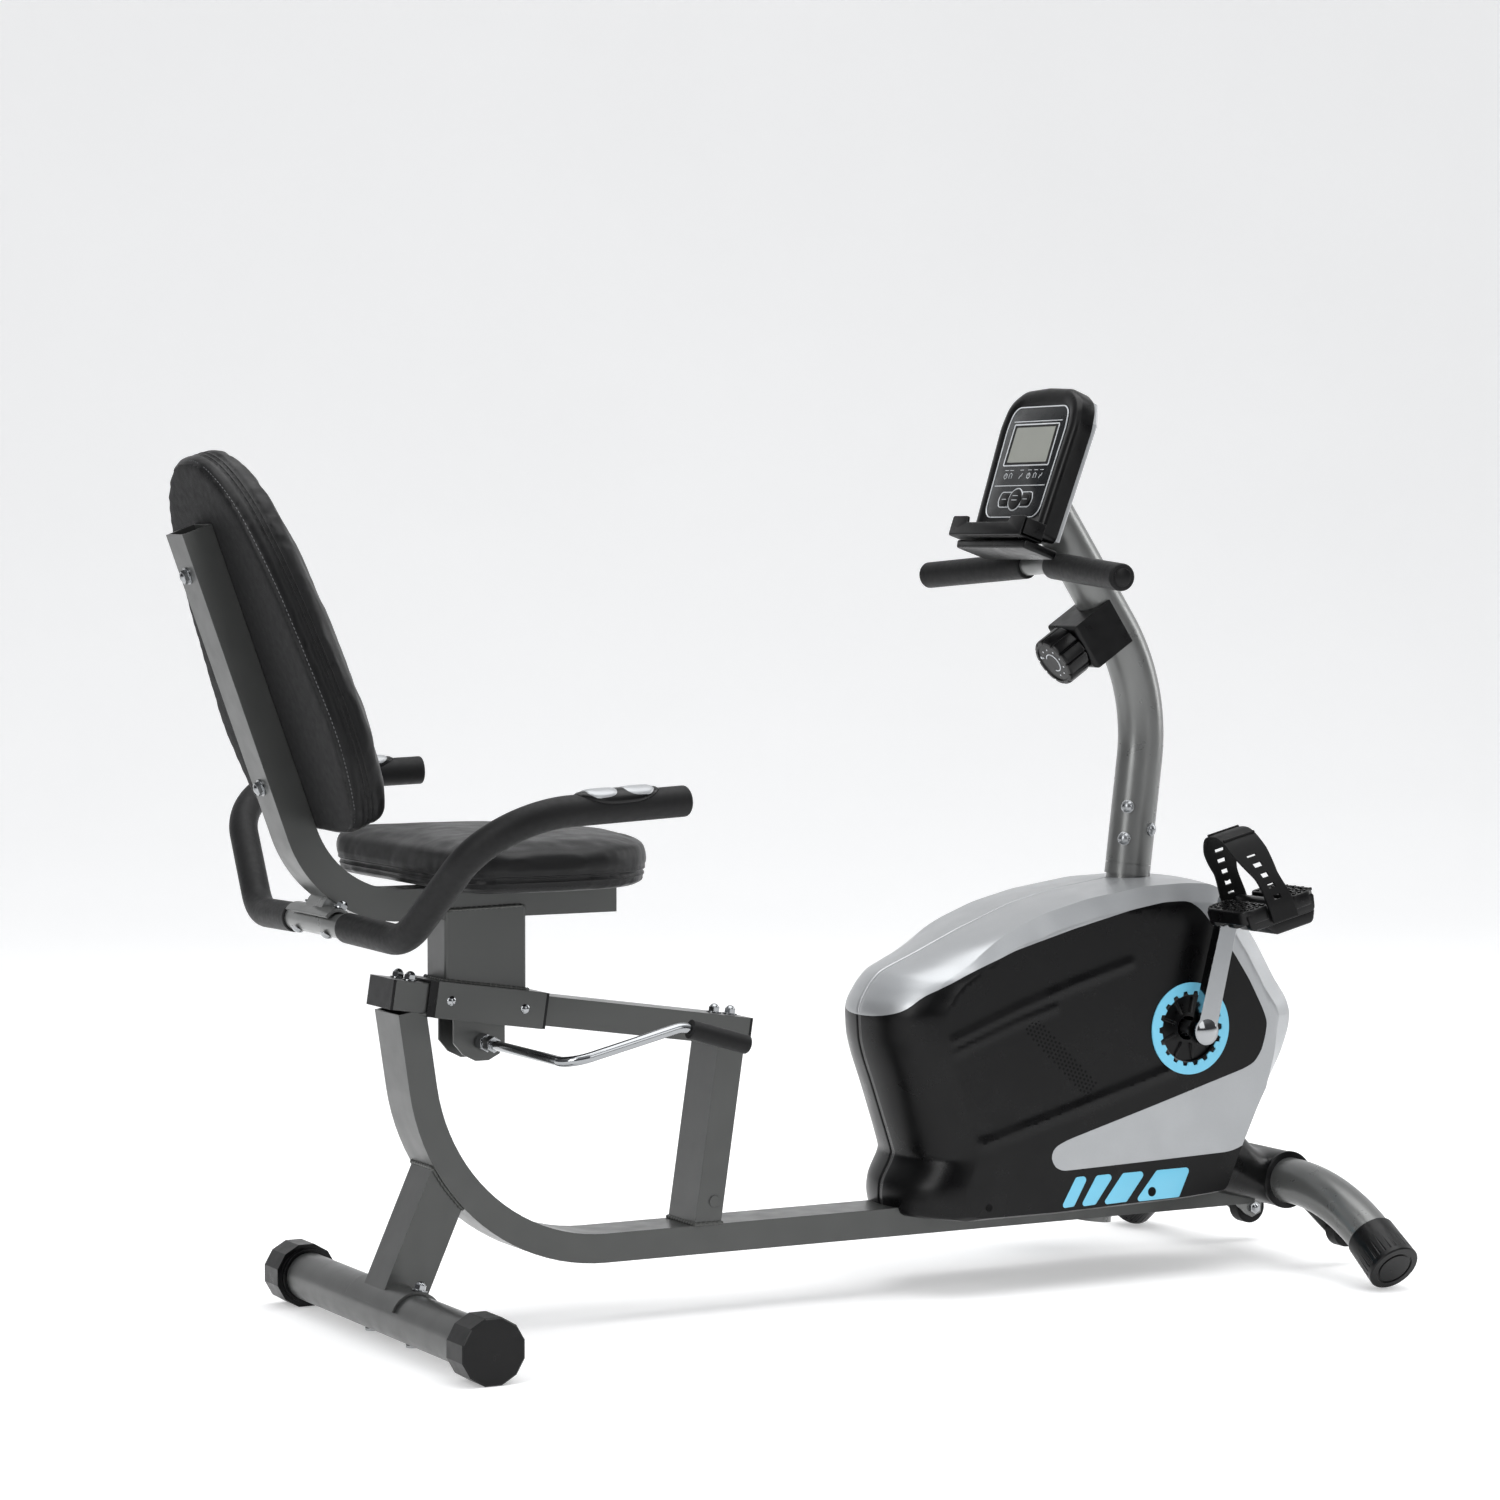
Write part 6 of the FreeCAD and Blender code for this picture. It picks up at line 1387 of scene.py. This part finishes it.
# ------------------------------------------------------------------ weld beads
def bead(pts_mm, r=2.0, closed=False, name="weld"):
    pts = [V(*p) for p in pts_mm]
    dense = []
    n = len(pts)
    for i in range(n if closed else n - 1):
        a, b = pts[i], pts[(i + 1) % n]
        k = max(2, int((b - a).length / 0.0012))
        dense += [a.lerp(b, j / k) for j in range(k)]
    if not closed:
        dense.append(pts[-1])
    radii = [(r + 0.35 * math.sin(i * 1.35) + 0.25 * noise.noise(p * 300)) / 1000.0 for i, p in enumerate(dense)]
    if not closed:
        for i in range(4):
            radii[i] *= (i + 1) / 5
            radii[-1 - i] *= (i + 1) / 5
    return sweep_geo(dense, radii, 8, closed)


RA = math.radians(8.5)
RD = Vector((math.cos(RA), 0, -math.sin(RA)))
RN = Vector((math.sin(RA), 0, math.cos(RA)))
R0 = Vector((-7.2, 0, 351.1))


def rp(s, y, n):
    return tuple(R0 + RD * s + Vector((0, y, 0)) + RN * n)


bag = Bag()
# post under the rail, post on the base tube
ps = 386.5
for n_, dx in ((-16.2, 0),):
    bag.add(bead([rp(ps - 15.6, -30.6, n_), rp(ps + 15.6, -30.6, n_), rp(ps + 15.6, 30.6, n_), rp(ps - 15.6, 30.6, n_)], 2.1, True))
pt_ = R0 + RD * ps - RN * 15
k = (pt_.z - 94.5) / RN.z
bx = pt_.x - RN.x * k
bag.add(bead([(bx - 15.9, -30.6, 95.6), (bx + 15.9, -30.6, 95.6), (bx + 15.9, 30.6, 95.6), (bx - 15.9, 30.6, 95.6)], 2.1, True))
# rear leg against the arc
LA = math.radians(24)
lu = Vector((math.cos(LA), 0, -math.sin(LA)))
ld_ = Vector((math.sin(LA), 0, math.cos(LA)))
ac = Vector((228.5, 0, 284.0))


def on_arc(off):
    """Where the leg's edge line at the offset meets the arc's outer face."""
    p = Vector((0, 0, 32.6)) + lu * off
    R = 204.5 + 15 + 0.4
    q = p - ac
    b_ = q.dot(ld_)
    c_ = q.dot(q) - R * R
    disc = b_ * b_ - c_
    s = -b_ - math.sqrt(max(disc, 0))
    if s < 0:
        s = -b_ + math.sqrt(max(disc, 0))
    return p + ld_ * s


loop = []
for o_ in np.linspace(-23.5, 23.5, 8):
    p = on_arc(o_)
    loop.append((p.x, -25.6, p.z))
for o_ in np.linspace(23.5, -23.5, 8):
    p = on_arc(o_)
    loop.append((p.x, 25.6, p.z))
bag.add(bead(loop, 2.2, True))
# riser against the rail
tp = ac + Vector((-math.cos(RA) * 204.5, 0, -math.sin(RA) * 204.5))
s_top = (-15 - (tp - R0).dot(RN))
tq = tp + RN * s_top
sr_ = (tq - R0).dot(RD)
bag.add(bead([rp(sr_ - 15.4, -30.4, -15.9), rp(sr_ + 15.4, -30.4, -15.9), rp(sr_ + 15.4, 30.4, -15.9)], 1.9))
bag.make("welds_frame", M["weld"], "frame")
bag = Bag()
# seat post on the sleeve, and under the seat beam


def car_top(x):
    """Height of the sleeve's top face at x."""
    return 351.1 + (18.5 - (x - (-7.2)) * math.sin(RA)) / math.cos(RA)


bag.add(bead([(54.5, -25.8, car_top(54.5) + 0.6), (141.5, -25.8, car_top(141.5) + 0.6), (143.2, -24, car_top(143) + 0.6), (143.2, 24, car_top(143) + 0.6),
              (141.5, 25.8, car_top(141.5) + 0.6), (54.5, 25.8, car_top(54.5) + 0.6), (52.8, 24, car_top(53) + 0.6), (52.8, -24, car_top(53) + 0.6)], 2.0, True))
for s_ in (-1, 1):
    bag.add(bead([(56, s_ * 24.0, 431.6), (141, s_ * 24.0, 433.4)], 1.8))
bag.make("welds_seat", M["weld"], "seat")

# ------------------------------------------------------------------ stage, light and camera
floor_mat = bpy.data.materials.new("floor_mat")
floor_mat.use_nodes = True
nt = floor_mat.node_tree
bs = nt.nodes["Principled BSDF"]
tc = nt.nodes.new("ShaderNodeTexCoord")
nz = nt.nodes.new("ShaderNodeTexNoise")
nz.inputs["Scale"].default_value = 1.5
mx = nt.nodes.new("ShaderNodeMix")
mx.data_type = "RGBA"
mx.inputs[6].default_value = (0.86, 0.86, 0.86, 1)
mx.inputs[7].default_value = (0.90, 0.90, 0.90, 1)
nt.links.new(tc.outputs["Object"], nz.inputs["Vector"])
nt.links.new(nz.outputs["Fac"], mx.inputs[0])
nt.links.new(mx.outputs[2], bs.inputs["Base Color"])
bs.inputs["Roughness"].default_value = 0.9
bs.inputs["Emission Color"].default_value = (1.0, 1.0, 1.0, 1)
bs.inputs["Emission Strength"].default_value = 0.30
bs.inputs["Specular IOR Level"].default_value = 0.1
prof_c = [(-9.0, 0.0), (4.0, 0.0)]
for k in range(1, 13):
    a = PI / 2 * k / 12
    prof_c.append((4.0 + 3.0 * math.sin(a), 3.0 * (1 - math.cos(a))))
prof_c.append((7.0, 15.0))
yaw = math.radians(28.35)
fdir = Vector((math.sin(yaw), math.cos(yaw), 0))
sdir = Vector((math.cos(yaw), -math.sin(yaw), 0))
verts, faces = [], []
for d_, z_ in prof_c:
    for s_ in (-13, 13):
        p = fdir * d_ + sdir * s_
        verts.append((p.x, p.y, z_ - 0.0004))
for i in range(len(prof_c) - 1):
    faces.append((2 * i, 2 * i + 1, 2 * i + 3, 2 * i + 2))
me = bpy.data.meshes.new("studio_floor")
me.from_pydata(verts, [], faces)
for p in me.polygons:
    p.use_smooth = True
stage = bpy.data.objects.new("studio_floor", me)
bpy.context.scene.collection.objects.link(stage)
me.materials.append(floor_mat)

world = bpy.data.worlds.new("studio")
bpy.context.scene.world = world
world.use_nodes = True
wt = world.node_tree
wc = wt.nodes.new("ShaderNodeTexCoord")
ws = wt.nodes.new("ShaderNodeSeparateXYZ")
wt.links.new(wc.outputs["Generated"], ws.inputs[0])
wr = wt.nodes.new("ShaderNodeValToRGB")
wr.color_ramp.elements[0].position = 0.0
wr.color_ramp.elements[0].color = (0.16, 0.16, 0.17, 1)
wr.color_ramp.elements[1].position = 0.75
wr.color_ramp.elements[1].color = (0.95, 0.97, 1.0, 1)
mid = wr.color_ramp.elements.new(0.30)
mid.color = (0.20, 0.20, 0.21, 1)
wt.links.new(ws.outputs[2], wr.inputs[0])
wt.links.new(wr.outputs[0], wt.nodes["Background"].inputs[0])
wt.nodes["Background"].inputs[1].default_value = 0.62


def area(name, loc, target, size, energy, size_y=None, color=(1, 1, 1)):
    l = bpy.data.lights.new(name, "AREA")
    l.energy = energy
    l.color = color
    l.shape = "RECTANGLE"
    l.size = size
    l.size_y = size_y or size
    o = bpy.data.objects.new(name, l)
    bpy.context.scene.collection.objects.link(o)
    o.location = loc
    d = Vector(target) - Vector(loc)
    o.rotation_euler = d.to_track_quat("-Z", "Y").to_euler()
    return o


area("top_soft", (0.2, -0.2, 3.4), (0, 0, 0.4), 3.4, 92)
area("left_soft", (-3.2, -1.2, 1.9), (0, 0, 0.5), 1.3, 58, 2.6)
area("front_fill", (0.9, -4.2, 1.9), (0.1, 0, 0.45), 1.6, 22, 2.2)
area("right_edge", (3.2, -0.4, 1.6), (0.3, 0, 0.45), 1.0, 34, 2.4)

cam = bpy.data.cameras.new("camera")
cam.sensor_width = 36.0
cam.lens = 98.4
cam.clip_end = 60
co = bpy.data.objects.new("camera", cam)
bpy.context.scene.collection.objects.link(co)
co.location = ((-1612.4 - XS) / 1000.0, -3.7498, 0.7921)
co.rotation_euler = (math.radians(90 - 2.82), 0, -math.radians(28.35))
bpy.context.scene.camera = co
bpy.context.scene.view_settings.view_transform = "Standard"
bpy.context.scene.view_settings.look = "None"
